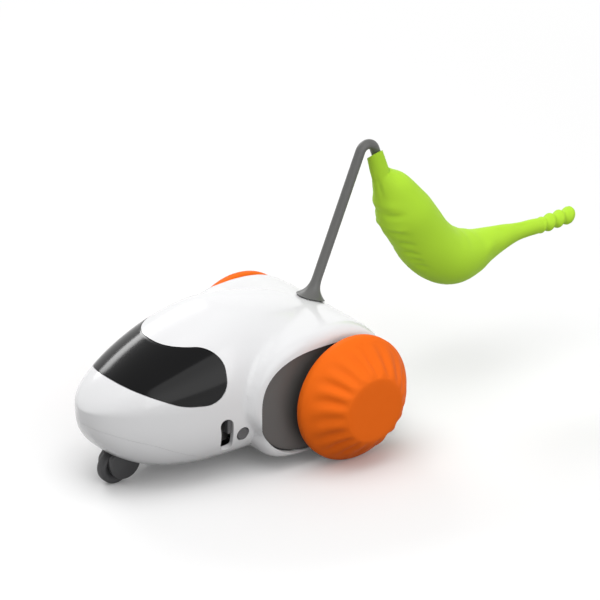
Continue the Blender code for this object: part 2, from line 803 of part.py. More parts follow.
def shell_screw_spots():
    """(x, y, parting height there, top of the boss) of each shell screw."""
    front = (FRONT_SCREW_X, NOSE_REACH - FRONT_SCREW_BEHIND_NOSE, FRONT_BOSS_TOP_Z)
    rear = (REAR_SCREW_X, REAR_SCREW_BEFORE_TAIL - TAIL_REACH, REAR_BOSS_TOP_Z)
    return [(sign * x, ahead(place), parting_height(place), top)
            for x, place, top in (front, rear) for _, sign in SIDES]


def tapped_post(name, radius, hole, place, low, high, depth, opens_up):
    """A round post from low to high with a blind screw hole of the given depth in one end."""
    if opens_up:
        profile = [(0, high - depth), (hole, high - depth), (hole, high), (radius, high), (radius, low),
                   (0, low)]
    else:
        profile = [(0, high), (radius, high), (radius, low), (hole, low), (hole, low + depth),
                   (0, low + depth)]
    return turned(name, profile, (*place, 0), (0, 0, 1), sides=SCREW_SIDES)


def make_upper_shell():
    shell = walled_skin("upper_shell", SHELL_WALL, "white_plastic")
    cut_panel_openings(shell)
    limit = skin("boss_limit", -GAP)
    depth = SHELL_SCREW_LENGTH - SHELL_SCREW_SEAT + GAP + OVERRUN
    for i, (x, y, parting, top) in enumerate(shell_screw_spots()):
        low = parting - OVERRUN
        boss = tapped_post(f"upper_boss_{i}", SHELL_BOSS_R, SHELL_SCREW_R + GAP, (x, y), low, top, depth,
                           False)
        join(shell, keep_inside(boss, limit))
    for i, (x, y, parting, top) in enumerate(shell_screw_spots()[:2]):
        side = math.copysign(1, x)
        low, high = sorted((x + side * SHELL_SCREW_R * 2, x + side * BOSS_RIB_LENGTH))
        rib = block(f"boss_rib_{i}", (low, y - BOSS_RIB / 2, parting - OVERRUN),
                    (high, y + BOSS_RIB / 2, top - BOSS_RIB))
        join(shell, keep_inside(rib, limit))
    join(shell, rod("pole_socket_boss", SOCKET_BOSS_R, pole_point(-SOCKET_BOSS_LENGTH),
                    pole_point(-SHELL_WALL / 2), sides=ROUND_SIDES))
    cut(shell, outline_solid("upper_parting", [parting_outline(GAP / 2, LOW_END)], -BODY_SPAN, BODY_SPAN))
    cut(shell, outline_solid("visor_opening", [visor_outline(GAP / 2)], -BODY_SPAN, BODY_SPAN))
    slot_centre = (ahead(SLOT_AHEAD), (SLOT_LOW_Z + SLOT_HIGH_Z) / 2)
    cut(shell, outline_solid("slot_opening", [stadium(slot_centre, SLOT_WIDTH, SLOT_HIGH_Z - SLOT_LOW_Z)],
                             SWITCH_INNER_X, BODY_SPAN))
    cut(shell, rod("button_hole", BUTTON_R + GAP, (TACT_FACE_X, ahead(BUTTON_AHEAD), BUTTON_Z),
                   (BODY_SPAN, ahead(BUTTON_AHEAD), BUTTON_Z), sides=ROUND_SIDES))
    cut(shell, rod("pole_hole", PLUG_R + GAP, pole_point(-SOCKET_BOSS_LENGTH - OVERRUN), pole_point(OVERRUN),
                   sides=SMALL_SIDES))
    half_width, half_height = SOCKET_HOLE_WIDTH / 2, SOCKET_HOLE_HEIGHT / 2
    corner = half_height - GAP
    port = [(sx * half_width, SOCKET_Z + sz * half_height, corner)
            for sx, sz in ((-1, -1), (1, -1), (1, 1), (-1, 1))]
    cut(shell, outline_solid("charge_port_opening", [rounded(port, 3)], behind(SOCKET_REACH) - SOCKET_LENGTH,
                             behind(TAIL_REACH) + OVERRUN, axis="Y"))


def make_lower_shell():
    shell = walled_skin("lower_shell", SHELL_WALL, "white_plastic")
    cut_panel_openings(shell)
    swivel = Vector((0, ahead(CASTER_AHEAD), 0))
    up = Vector((0, 0, 1))
    limit = skin("carrier_limit", -GAP)
    for i, (x, y, parting, _) in enumerate(shell_screw_spots()):
        boss = rod(f"lower_boss_{i}", SHELL_BOSS_R, (x, y, parting - 2 * SHELL_SCREW_SEAT),
                   (x, y, parting + OVERRUN))
        join(shell, keep_inside(boss, limit))
    cut(shell, outline_solid("lower_parting", [parting_outline(-GAP / 2, HIGH_END)], -BODY_SPAN, BODY_SPAN))
    well = rod("caster_well", WELL_R + WELL_WALL, swivel + up * GEARBOX_FLOOR_Z,
               swivel + up * (WELL_TOP_Z + SHELL_WALL), sides=ROUND_SIDES)
    join(shell, keep_inside(well, limit))
    join(shell, rod("stem_boss", STEM_BOSS_R, swivel + up * WELL_TOP_Z, swivel + up * STEM_TOP_Z))
    seat_z = GEARBOX_FLOOR_Z - GAP
    for name, sign in SIDES:
        for k, place in enumerate(GEARBOX_SCREW_PLACES):
            boss = tapped_post(f"{name}_gearbox_boss_{k}", GEARBOX_BOSS_R, GEARBOX_SCREW_R + GAP,
                               (sign * GEARBOX_SCREW_X, ahead(place)), BELLY_FLAT_Z, seat_z,
                               GEARBOX_SCREW_LENGTH - GEARBOX_WALL, True)
            join(shell, keep_inside(boss, limit))
    depth = BOARD_SCREW_LENGTH - BOARD_THICKNESS + GAP
    for i, place in enumerate(board_posts()):
        if i in SCREWED_POSTS:
            post = tapped_post(f"board_post_{i}", BOARD_POST_R, BOARD_SCREW_R + GAP, place, EGG_BELLY_Z,
                               BOARD_Z - GAP, depth, True)
        else:
            peg_top = BOARD_Z + BOARD_THICKNESS
            profile = [(0, peg_top), (BOARD_SCREW_R, peg_top), (BOARD_SCREW_R, BOARD_Z - GAP),
                       (BOARD_POST_R, BOARD_Z - GAP), (BOARD_POST_R, EGG_BELLY_Z), (0, EGG_BELLY_Z)]
            post = turned(f"board_post_{i}", profile, (*place, 0), (0, 0, 1), sides=SCREW_SIDES)
        join(shell, keep_inside(post, limit))
    charge_x = CHARGE_BOARD_WIDTH / 2 - CHARGE_POST_R
    charge_y = charge_board_front() + CHARGE_POST_R
    for name, sign in SIDES:
        post = rod(f"{name}_charge_post", CHARGE_POST_R, (sign * charge_x, charge_y, BELLY_FLAT_Z),
                   (sign * charge_x, charge_y, charge_board_z() - GAP), sides=SCREW_SIDES)
        join(shell, keep_inside(post, limit))
    profile = [(0, STEM_TOP_Z + OVERRUN), (STEM_R + GAP, STEM_TOP_Z + OVERRUN), (STEM_R + GAP, WELL_TOP_Z),
               (WELL_R, WELL_TOP_Z), (WELL_R, LOW_END), (0, LOW_END)]
    cut(shell, turned("well_bore", profile, swivel, up))
    shank_r, recess_r = SHELL_SCREW_R + GAP, SHELL_SCREW_HEAD_R + GAP
    for i, (x, y, parting, _) in enumerate(shell_screw_spots()):
        seat = parting - SHELL_SCREW_SEAT
        end = parting + OVERRUN
        profile = [(0, end), (shank_r, end), (shank_r, seat), (recess_r, seat), (recess_r, LOW_END),
                   (0, LOW_END)]
        cut(shell, turned(f"lower_screw_hole_{i}", profile, (x, y, 0), up, sides=SCREW_SIDES))


def make_visor():
    visor = walled_skin("visor", VISOR_WALL, "visor_black")
    keep_inside(visor, outline_solid("visor_blank", [visor_outline(-GAP / 2)], -BODY_SPAN, BODY_SPAN))


def axle_point(x):
    return Vector((x, AXLE_Y, AXLE_Z))


def make_side_panel(name, sign):
    low, high = sorted((sign * (PANEL_FACE_X - PANEL_THICKNESS), sign * PANEL_FACE_X))
    hole = circle((AXLE_Y, AXLE_Z), BUSH_R + GAP, ROUND_SIDES)
    outline_solid(f"{name}_side_panel", [panel_outline(GAP), hole], low, high, finish="panel_grey")


def make_bush(name, sign):
    bore = AXLE_R + GAP
    inner = PANEL_FACE_X - PANEL_THICKNESS
    outer = PANEL_FACE_X + GAP
    profile = [(bore, outer + BUSH_FLANGE), (BUSH_FLANGE_R, outer + BUSH_FLANGE), (BUSH_FLANGE_R, outer),
               (BUSH_R, outer), (BUSH_R, inner), (bore, inner)]
    turned(f"{name}_axle_bush", profile, axle_point(0), (sign, 0, 0), "bronze", SMALL_SIDES)


def cover_profile():
    """The wheel cover's outside, from the hub's edge to the open back, as (radius, x)."""
    dome = WHEEL_OUTER_X - WHEEL_SHOULDER_X
    fall = WHEEL_SHOULDER_R - WHEEL_HUB_R
    line = [(WHEEL_HUB_R + fall * r, WHEEL_SHOULDER_X + dome * x) for x, r in DOME_SHARES]
    return line + [(WHEEL_R, WHEEL_RIM_X), (WHEEL_R, WHEEL_BACK_X + (WHEEL_R - WHEEL_BACK_R)),
                   (WHEEL_BACK_R, WHEEL_BACK_X)]


def inset_line(line, distance):
    """The profile line moved inwards by distance, with the same number of points."""
    moved = []
    for i, (r, x) in enumerate(line):
        before = Vector(line[max(i - 1, 0)])
        after = Vector(line[min(i + 1, len(line) - 1)])
        along = (after - before).normalized()
        moved.append((r - abs(along.y) * distance, x - abs(along.x) * distance))
    return moved


def make_wheel_cover(name, sign):
    outer = cover_profile()
    hub_back = WHEEL_OUTER_X - WHEEL_COVER_WALL
    inside = inset_line(outer, WHEEL_COVER_WALL)[1:-2]
    inside = [(inside[0][0] - WHEEL_COVER_WALL, hub_back)] + inside
    inside += [(WHEEL_R - WHEEL_COVER_WALL, WHEEL_BACK_X)]
    profile = [(0, WHEEL_OUTER_X)] + outer + inside[::-1] + [(0, hub_back)]
    draft = turned(f"{name}_wheel_draft", profile, (0, 0, 0), (0, 0, 1), sides=2 * WHEEL_RIPPLES)
    mesh = evaluated_mesh(draft)
    bpy.data.objects.remove(draft, do_unlink=True)
    for vertex in mesh.vertices:
        r, x = vertex.co.xy.length, vertex.co.z
        if x > WHEEL_SHOULDER_X - WELD and WHEEL_HUB_R + WELD < r and r > hub_surface_limit(x):
            wave = math.cos(WHEEL_RIPPLES * math.atan2(vertex.co.y, vertex.co.x))
            vertex.co.xy *= 1 + RIPPLE_DEPTH * wave / r
    turn = Vector((sign, 0, 0)).to_track_quat("Z", "Y").to_matrix().to_4x4()
    mesh.transform(Matrix.Translation(axle_point(0)) @ turn)
    mesh.name = f"{name}_wheel_cover"
    cover = add_object(f"{name}_wheel_cover", mesh, "wheel_orange")
    cover.data.shade_smooth()


def hub_surface_limit(x):
    """The radius between the cover's inner and outer faces at x on the dome."""
    line = [(r - WHEEL_COVER_WALL / 2, place) for r, place in cover_profile()]
    for (r0, x0), (r1, x1) in zip(line, line[1:]):
        if x1 <= x <= x0:
            return r0 + (r1 - r0) * (x0 - x) / (x0 - x1)
    return line[0][0]


def make_wheel_core(name, sign):
    front_x = WHEEL_OUTER_X - WHEEL_COVER_WALL - GAP
    outer = inset_line(cover_profile(), WHEEL_COVER_WALL + GAP)[1:-2]
    inner = inset_line(outer, CORE_WALL)
    rim = WHEEL_R - WHEEL_COVER_WALL - GAP
    back_x = WHEEL_BACK_X + GAP
    web_x = AXLE_OUTER_X + GAP
    well_x = web_x + CORE_WEB
    bore, hole = AXLE_R + GAP, WHEEL_SCREW_R + GAP
    profile = [(CORE_SCREW_WELL_R, front_x), (outer[0][0] - CORE_WALL, front_x)] + outer + [(rim, back_x)]
    profile += [(rim - CORE_WALL, back_x)] + inner[:0:-1]
    profile += [(inner[0][0] - CORE_WALL, web_x), (CORE_BOSS_R, web_x), (CORE_BOSS_R, CORE_BACK_X),
                (bore, CORE_BACK_X), (bore, web_x), (hole, web_x), (hole, well_x),
                (CORE_SCREW_WELL_R, well_x)]
    turned(f"{name}_wheel_core", profile, axle_point(0), (sign, 0, 0), "core_black")


def make_wheel_screw(name, sign):
    seat = AXLE_OUTER_X + GAP + CORE_WEB + GAP
    profile = [(0, seat + WHEEL_SCREW_HEAD), (WHEEL_SCREW_HEAD_R, seat + WHEEL_SCREW_HEAD),
               (WHEEL_SCREW_HEAD_R, seat), (WHEEL_SCREW_R, seat), (WHEEL_SCREW_R, seat - WHEEL_SCREW_LENGTH),
               (0, seat - WHEEL_SCREW_LENGTH)]
    turned(f"{name}_wheel_screw", profile, axle_point(0), (sign, 0, 0), "steel", SMALL_SIDES)


def make_axle(name, sign):
    hole = WHEEL_SCREW_R + GAP
    depth = AXLE_OUTER_X - WHEEL_SCREW_LENGTH
    profile = [(0, depth), (hole, depth), (hole, AXLE_OUTER_X), (AXLE_R, AXLE_OUTER_X),
               (AXLE_R, AXLE_INNER_X), (0, AXLE_INNER_X)]
    turned(f"{name}_axle", profile, axle_point(0), (sign, 0, 0), "steel", SMALL_SIDES)


def gear_outline(teeth, centre, phase):
    """A gear's outline with straight-sided teeth; phase is the angle of its first tooth."""
    pitch_r = teeth * MODULE / 2
    root_r, tip_r = pitch_r - DEDENDUM_SHARE * MODULE, pitch_r + ADDENDUM_SHARE * MODULE
    rings = ((root_r, -TOOTH_ROOT_SHARE), (tip_r, -TOOTH_TIP_SHARE), (tip_r, TOOTH_TIP_SHARE),
             (root_r, TOOTH_ROOT_SHARE))
    outline = []
    for i in range(teeth):
        for radius, share in rings:
            angle = phase + (i + share) * math.tau / teeth
            outline.append((centre[0] + radius * math.cos(angle), centre[1] + radius * math.sin(angle)))
    return outline


def between(sign, low, high):
    return sorted((sign * low, sign * high))


def make_gear_train(name, sign):
    output = (AXLE_Y, AXLE_Z)
    idler = (ahead(IDLER_AHEAD), AXLE_Z)
    motor = (ahead(MOTOR_AHEAD), AXLE_Z)
    low, high = between(sign, SECOND_STAGE_X, SECOND_STAGE_X + SECOND_STAGE_WIDTH)
    outline_solid(f"{name}_output_gear",
                  [gear_outline(OUTPUT_TEETH, output, math.pi), circle(output, AXLE_R + GAP)],
                  low, high, finish="gear_white")
    first_end = FIRST_STAGE_X + FIRST_STAGE_WIDTH
    low, high = between(sign, FIRST_STAGE_X, first_end)
    pin_bore = IDLER_PIN_R + GAP
    wheel = outline_solid(f"{name}_idler_gear",
                          [gear_outline(IDLER_TEETH, idler, math.pi), circle(idler, pin_bore)],
                          low, high, finish="gear_white")
    low, high = between(sign, first_end - WELD, SECOND_STAGE_X + SECOND_STAGE_WIDTH)
    small_phase = math.pi / IDLER_PINION_TEETH
    join(wheel, outline_solid(f"{name}_idler_pinion",
                              [gear_outline(IDLER_PINION_TEETH, idler, small_phase), circle(idler, pin_bore)],
                              low, high))
    low, high = between(sign, FIRST_STAGE_X, first_end)
    outline_solid(f"{name}_motor_pinion",
                  [gear_outline(MOTOR_TEETH, motor, math.pi / MOTOR_TEETH),
                   circle(motor, MOTOR_SHAFT_R + GAP, SCREW_SIDES)],
                  low, high, finish="bronze")
    wall_in = GEARBOX_INNER_X + GAP
    rod(f"{name}_idler_pin", IDLER_PIN_R, (sign * wall_in, idler[0], idler[1]),
        (sign * (GEARBOX_OUTER_X - GAP), idler[0], idler[1]), "steel", SCREW_SIDES)


def make_motor(name, sign):
    centre = (ahead(MOTOR_AHEAD), AXLE_Z)
    face = GEARBOX_INNER_X - GAP
    back = face - MOTOR_LENGTH
    flats = math.asin(MOTOR_FLAT / MOTOR_R)
    arc_steps = 6
    outline = []
    for turn in (0, math.pi):
        for k in range(arc_steps + 1):
            angle = turn + (math.pi - 2 * flats) * (k / arc_steps - 0.5) + math.pi / 2
            outline.append((centre[0] + MOTOR_R * math.cos(angle), centre[1] + MOTOR_R * math.sin(angle)))
    low, high = between(sign, back, face)
    can = outline_solid(f"{name}_motor", [outline], low, high, finish="steel")
    nose_end = GEARBOX_INNER_X + GEARBOX_WALL - GAP
    join(can, rod(f"{name}_motor_nose", MOTOR_NOSE_R, (sign * (face - GAP), *centre),
                  (sign * nose_end, *centre)))
    shaft_in = face - MOTOR_SHAFT_DEPTH
    cut(can, rod(f"{name}_motor_bore", MOTOR_SHAFT_R + GAP, (sign * (shaft_in - GAP), *centre),
                 (sign * (nose_end + OVERRUN), *centre), sides=SCREW_SIDES))
    rod(f"{name}_motor_shaft", MOTOR_SHAFT_R, (sign * shaft_in, *centre),
        (sign * (FIRST_STAGE_X + FIRST_STAGE_WIDTH), *centre), "steel", SCREW_SIDES)


def make_gearbox(name, sign):
    outline = superellipse((ahead(GEARBOX_AHEAD), GEARBOX_Z),
                           (GEARBOX_REACH, GEARBOX_REACH, GEARBOX_RISE, GEARBOX_RISE),
                           (GEARBOX_POWER, GEARBOX_POWER), 20)
    axle_hole = circle((AXLE_Y, AXLE_Z), AXLE_R + GAP)
    pin_hole = circle((ahead(IDLER_AHEAD), AXLE_Z), IDLER_PIN_R + GAP, SCREW_SIDES)
    nose_hole = circle((ahead(MOTOR_AHEAD), AXLE_Z), MOTOR_NOSE_R + GAP)
    low, high = between(sign, GEARBOX_INNER_X, GEARBOX_INNER_X + GEARBOX_WALL)
    frame = outline_solid(f"{name}_gearbox", [outline, axle_hole, pin_hole, nose_hole], low, high,
                          finish="gearbox_black")
    low, high = between(sign, GEARBOX_OUTER_X - GEARBOX_WALL, GEARBOX_OUTER_X)
    join(frame, outline_solid(f"{name}_gearbox_outer_wall", [outline, axle_hole, pin_hole], low, high))
    low, high = between(sign, GEARBOX_INNER_X, GEARBOX_OUTER_X)
    join(frame, block(f"{name}_gearbox_floor", (low, ahead(GEARBOX_FLOOR_FRONT), GEARBOX_FLOOR_Z),
                      (high, behind(GEARBOX_FLOOR_REAR), GEARBOX_FLOOR_Z + GEARBOX_WALL)))
    for k, place in enumerate(GEARBOX_SCREW_PLACES):
        spot = (sign * GEARBOX_SCREW_X, ahead(place))
        cut(frame, rod(f"{name}_gearbox_floor_hole_{k}", GEARBOX_SCREW_R + GAP,
                       (*spot, GEARBOX_FLOOR_Z - OVERRUN), (*spot, GEARBOX_FLOOR_Z + GEARBOX_WALL + GAP),
                       sides=SCREW_SIDES))


def screw_profile(shank_r, head_r, head, length):
    """A cheese-head screw with its head's underside at height 0 and its shank below."""
    return [(0, head), (head_r, head), (head_r, 0), (shank_r, 0), (shank_r, -length), (0, -length)]


def make_screws():
    profile = screw_profile(GEARBOX_SCREW_R, GEARBOX_SCREW_HEAD_R, GEARBOX_SCREW_HEAD, GEARBOX_SCREW_LENGTH)
    top = GEARBOX_FLOOR_Z + GEARBOX_WALL + GAP
    for name, sign in SIDES:
        for k, place in enumerate(GEARBOX_SCREW_PLACES, 1):
            turned(f"{name}_gearbox_screw_{k}", profile, (sign * GEARBOX_SCREW_X, ahead(place), top),
                   (0, 0, 1), "steel", SCREW_SIDES)
    profile = screw_profile(SHELL_SCREW_R, SHELL_SCREW_HEAD_R, SHELL_SCREW_HEAD, SHELL_SCREW_LENGTH)
    for k, (x, y, parting, _) in enumerate(shell_screw_spots(), 1):
        turned(f"shell_screw_{k}", profile, (x, y, parting - SHELL_SCREW_SEAT - GAP), (0, 0, -1), "steel",
               SCREW_SIDES)
    profile = screw_profile(BOARD_SCREW_R, BOARD_SCREW_HEAD_R, BOARD_SCREW_HEAD, BOARD_SCREW_LENGTH)
    for k, (x, y) in enumerate((board_posts()[i] for i in SCREWED_POSTS), 1):
        turned(f"board_screw_{k}", profile, (x, y, BOARD_Z + BOARD_THICKNESS + GAP), (0, 0, 1), "steel",
               SCREW_SIDES)


def make_caster():
    swivel_y = ahead(CASTER_AHEAD)
    wheel = Vector((0, ahead(CASTER_AHEAD + CASTER_TRAIL), CASTER_WHEEL_R))
    half = CASTER_WHEEL_WIDTH / 2
    bore, edge = CASTER_PIN_R + GAP, CASTER_WHEEL_ROUND
    diagonal = edge * (1 - math.sqrt(0.5))
    profile = [(bore, half), (CASTER_WHEEL_R - edge, half), (CASTER_WHEEL_R - diagonal, half - diagonal),
               (CASTER_WHEEL_R, half - edge), (CASTER_WHEEL_R, edge - half),
               (CASTER_WHEEL_R - diagonal, diagonal - half), (CASTER_WHEEL_R - edge, -half), (bore, -half)]
    turned("caster_wheel", profile, wheel, (1, 0, 0), "caster_grey")
    reach = Vector((CASTER_PIN_LENGTH / 2, 0, 0))
    rod("caster_axle", CASTER_PIN_R, wheel - reach, wheel + reach, "steel", SCREW_SIDES)
    plate_top = FORK_PLATE_Z + FORK_PLATE
    fork = rod("caster_fork", FORK_PLATE_R, (0, swivel_y, FORK_PLATE_Z), (0, swivel_y, plate_top),
               "caster_grey", ROUND_SIDES)
    join(fork, rod("fork_stem", STEM_R, (0, swivel_y, FORK_PLATE_Z), (0, swivel_y, STEM_TOP_Z)))
    for name, sign in SIDES:
        inner, outer = sign * CHEEK_INNER_X, sign * (CHEEK_INNER_X + CHEEK_THICKNESS)
        arm_y = ahead(CASTER_AHEAD + CHEEK_TRAIL)
        join(fork, rod(f"{name}_cheek", CHEEK_R, (inner, arm_y, CHEEK_Z), (outer, arm_y, CHEEK_Z),
                       sides=ROUND_SIDES))
        low, high = sorted((inner, outer))
        join(fork, block(f"{name}_fork_arm", (low + WELD, arm_y - FORK_ARM_LENGTH / 2, CHEEK_Z),
                         (high - WELD, arm_y + FORK_ARM_LENGTH / 2, plate_top - FORK_PLATE / 2)))
    pin_hole = Vector((CASTER_PIN_LENGTH / 2 + GAP, 0, 0))
    cut(fork, rod("fork_pin_hole", CASTER_PIN_R + GAP, wheel - pin_hole, wheel + pin_hole, sides=SCREW_SIDES))
    screw_hole = STEM_R / 2 + GAP
    cut(fork, rod("fork_screw_hole", screw_hole, (0, swivel_y, STEM_TOP_Z - CASTER_SCREW_LENGTH - GAP),
                  (0, swivel_y, STEM_TOP_Z + OVERRUN), sides=SCREW_SIDES))
    profile = screw_profile(STEM_R / 2, CASTER_SCREW_HEAD_R, CASTER_SCREW_HEAD, CASTER_SCREW_LENGTH)
    turned("caster_screw", profile, (0, swivel_y, STEM_TOP_Z + GAP), (0, 0, 1), "steel", SMALL_SIDES)


def board_posts():
    """The (x, y) of the posts that carry the main board."""
    x = BOARD_HALF_WIDTH - BOARD_POST_INSET_X
    return [(sign * x, y) for _, sign in SIDES
            for y in (ahead(BOARD_FRONT - BOARD_POST_INSET), ahead(BOARD_REAR + BOARD_POST_INSET))]


def make_main_board():
    board = block("main_board", (-BOARD_HALF_WIDTH, ahead(BOARD_FRONT), BOARD_Z),
                  (BOARD_HALF_WIDTH, ahead(BOARD_REAR), BOARD_Z + BOARD_THICKNESS), "board_green")
    for i, (x, y) in enumerate(board_posts()):
        cut(board, rod(f"board_hole_{i}", BOARD_SCREW_R + GAP, (x, y, BOARD_Z - OVERRUN),
                       (x, y, BOARD_Z + BOARD_THICKNESS + OVERRUN), sides=SCREW_SIDES))
    chip_half = (BOARD_FRONT - BOARD_REAR) / 10
    middle = ahead((BOARD_FRONT + BOARD_REAR) / 2)
    top = BOARD_Z + BOARD_THICKNESS
    join(board, block("control_chip", (-chip_half, middle - chip_half, BOARD_Z + GAP),
                      (chip_half, middle + chip_half, top + BOARD_THICKNESS)))


def make_sensor_board():
    low = BOARD_Z + BOARD_THICKNESS + GAP
    back = ahead(BOARD_FRONT) + SENSOR_BOARD_INSET + BOARD_THICKNESS
    front = back - BOARD_THICKNESS
    top = low + SENSOR_BOARD_HEIGHT
    board = block("sensor_board", (-SENSOR_BOARD_HALF_WIDTH, front, low),
                  (SENSOR_BOARD_HALF_WIDTH, back, top), "board_green")
    inside = front + BOARD_THICKNESS / 2
    for name, sign in SIDES:
        place = Vector((sign * EMITTER_X, inside, top - EMITTER_DROP))
        tip = Vector((place.x, front - EMITTER_LENGTH, place.z))
        join(board, rod(f"{name}_emitter", EMITTER_R, place, tip, sides=SCREW_SIDES))
    half = RECEIVER_WIDTH / 2
    join(board, block("infrared_receiver", (-half, front - RECEIVER_DEPTH, top - RECEIVER_HEIGHT),
                      (half, inside, top - GAP)))


def make_battery():
    front, rear = ahead(BATTERY_FRONT), ahead(BATTERY_REAR)
    cell = block("battery", (-BATTERY_HALF_WIDTH, front, BATTERY_LOW_Z),
                 (BATTERY_HALF_WIDTH, rear, BATTERY_LOW_Z + BATTERY_HEIGHT), "battery_blue")
    bevel = cell.modifiers.new("Soft edges", "BEVEL")
    bevel.width = BATTERY_HEIGHT / 5
    bevel.segments = 2
    margin = TRAY_WALL + GAP
    tray = block("battery_tray", (-BATTERY_HALF_WIDTH - margin, front - margin, BELLY_FLAT_Z),
                 (BATTERY_HALF_WIDTH + margin, rear + margin, BATTERY_LOW_Z + TRAY_HEIGHT), "gearbox_black")
    cut(tray, block("tray_pocket", (-BATTERY_HALF_WIDTH - GAP, front - GAP, BATTERY_LOW_Z - GAP),
                    (BATTERY_HALF_WIDTH + GAP, rear + GAP, BATTERY_LOW_Z + TRAY_HEIGHT + OVERRUN)))
    keep_inside(tray, inner_space("tray_floor_limit"))


def charge_board_z():
    """The top of the charging board, which carries the socket."""
    return SOCKET_Z - SOCKET_HEIGHT / 2 - GAP - BOARD_THICKNESS


def charge_board_front():
    return behind(SOCKET_REACH) - CHARGE_BOARD_LENGTH - SOCKET_WALL


def make_charge_socket():
    back = behind(SOCKET_REACH)
    half_width, half_height = SOCKET_WIDTH / 2, SOCKET_HEIGHT / 2
    ring = [(sx * half_width, SOCKET_Z + sz * half_height, half_height - SOCKET_WALL)
            for sx, sz in ((-1, -1), (1, -1), (1, 1), (-1, 1))]
    socket = outline_solid("charge_socket", [rounded(ring, 3)], back - SOCKET_LENGTH, back, axis="Y",
                           finish="steel")
    mouth = moved_edges(ring, -SOCKET_WALL)
    cut(socket, outline_solid("socket_mouth", [rounded(mouth, 3)], back - SOCKET_LENGTH + SOCKET_WALL,
                              back + OVERRUN, axis="Y"))
    half = CHARGE_BOARD_WIDTH / 2
    z = charge_board_z()
    front = charge_board_front()
    block("charge_board", (-half, front, z), (half, front + CHARGE_BOARD_LENGTH, z + BOARD_THICKNESS),
          "board_green")


def make_side_controls():
    board_outer = SIDE_BOARD_X + SIDE_BOARD_THICKNESS
    block("side_board", (SIDE_BOARD_X, ahead(SLOT_AHEAD + SIDE_BOARD_FRONT_MARGIN), SIDE_BOARD_LOW_Z),
          (board_outer, ahead(BUTTON_AHEAD - SIDE_BOARD_REAR_MARGIN), SIDE_BOARD_HIGH_Z), "board_green")
    slot_y = ahead(SLOT_AHEAD)
    switch_in = board_outer + GAP
    knob_top = SLOT_HIGH_Z - KNOB_TOP_MARGIN
    knob_low = knob_top - KNOB_HEIGHT
    knob_middle = (knob_top + knob_low) / 2
    half_stem = KNOB_STEM / 2
    body = block("switch_body", (switch_in, slot_y - SWITCH_LENGTH / 2, SWITCH_LOW_Z),
                 (SWITCH_FACE_X, slot_y + SWITCH_LENGTH / 2, SWITCH_HIGH_Z), "component_black")
    stem_in = SWITCH_FACE_X - KNOB_STEM
    track_low = knob_middle - half_stem - KNOB_TRAVEL - GAP
    cut(body, block("switch_track", (stem_in - GAP, slot_y - half_stem - GAP, track_low),
                    (SWITCH_FACE_X + OVERRUN, slot_y + half_stem + GAP, knob_middle + half_stem + GAP)))
    knob_in = SWITCH_FACE_X + GAP
    knob = outline_solid("switch_knob", [stadium((slot_y, knob_middle), KNOB_WIDTH, KNOB_HEIGHT)],
                         knob_in, knob_in + KNOB_DEPTH - KNOB_RIB, finish="control_grey")
    join(knob, block("knob_stem", (stem_in, slot_y - half_stem, knob_middle - half_stem),
                     (knob_in + GAP, slot_y + half_stem, knob_middle + half_stem)))
    rib_pitch = (KNOB_HEIGHT - KNOB_WIDTH / 2) / KNOB_RIBS
    rib_half = KNOB_WIDTH / 3
    for k in range(KNOB_RIBS):
        z = knob_middle + rib_pitch * (k - (KNOB_RIBS - 1) / 2)
        join(knob, block(f"knob_rib_{k}", (knob_in + GAP, slot_y - rib_half, z - rib_pitch / 4),
                         (knob_in + KNOB_DEPTH, slot_y + rib_half, z + rib_pitch / 4)))
    centre = Vector((0, ahead(BUTTON_AHEAD), BUTTON_Z))
    profile = [(0, BUTTON_FACE_X), (BUTTON_R - BUTTON_ROUND, BUTTON_FACE_X),
               (BUTTON_R, BUTTON_FACE_X - BUTTON_ROUND), (BUTTON_R, BUTTON_BACK_X + BUTTON_FLANGE),
               (BUTTON_FLANGE_R, BUTTON_BACK_X + BUTTON_FLANGE), (BUTTON_FLANGE_R, BUTTON_BACK_X),
               (0, BUTTON_BACK_X)]
    turned("push_button", profile, centre, (1, 0, 0), "control_grey")
    half = TACT_SIZE / 2
    switch = block("button_switch", (switch_in, centre.y - half, centre.z - half),
                   (TACT_FACE_X, centre.y + half, centre.z + half), "component_black")
    join(switch, rod("tact_plunger", TACT_PLUNGER_R, centre + Vector((TACT_FACE_X - GAP, 0, 0)),
                     centre + Vector((BUTTON_BACK_X - BUTTON_TRAVEL - GAP, 0, 0)), sides=SCREW_SIDES))


def pole_path():
    """Points along the pole's axis from the plug to the tip, as (0, y, z)."""
    arc_steps = 8
    path = [FOOT - POLE_ALONG * (PLUG_LENGTH / 2), FOOT + POLE_ALONG * (POLE_LENGTH / 2)]
    for k in range(arc_steps + 1):
        angle = POLE_LEAN + HOOK_TURN * k / arc_steps
        side = Vector((math.cos(angle), -math.sin(angle)))
        path.append(HOOK_CENTRE - side * HOOK_R)
    path.append(LURE_MOUTH + TIP_ALONG * HOOK_TIP)
    return [(0, behind(place.x), place.y) for place in path]


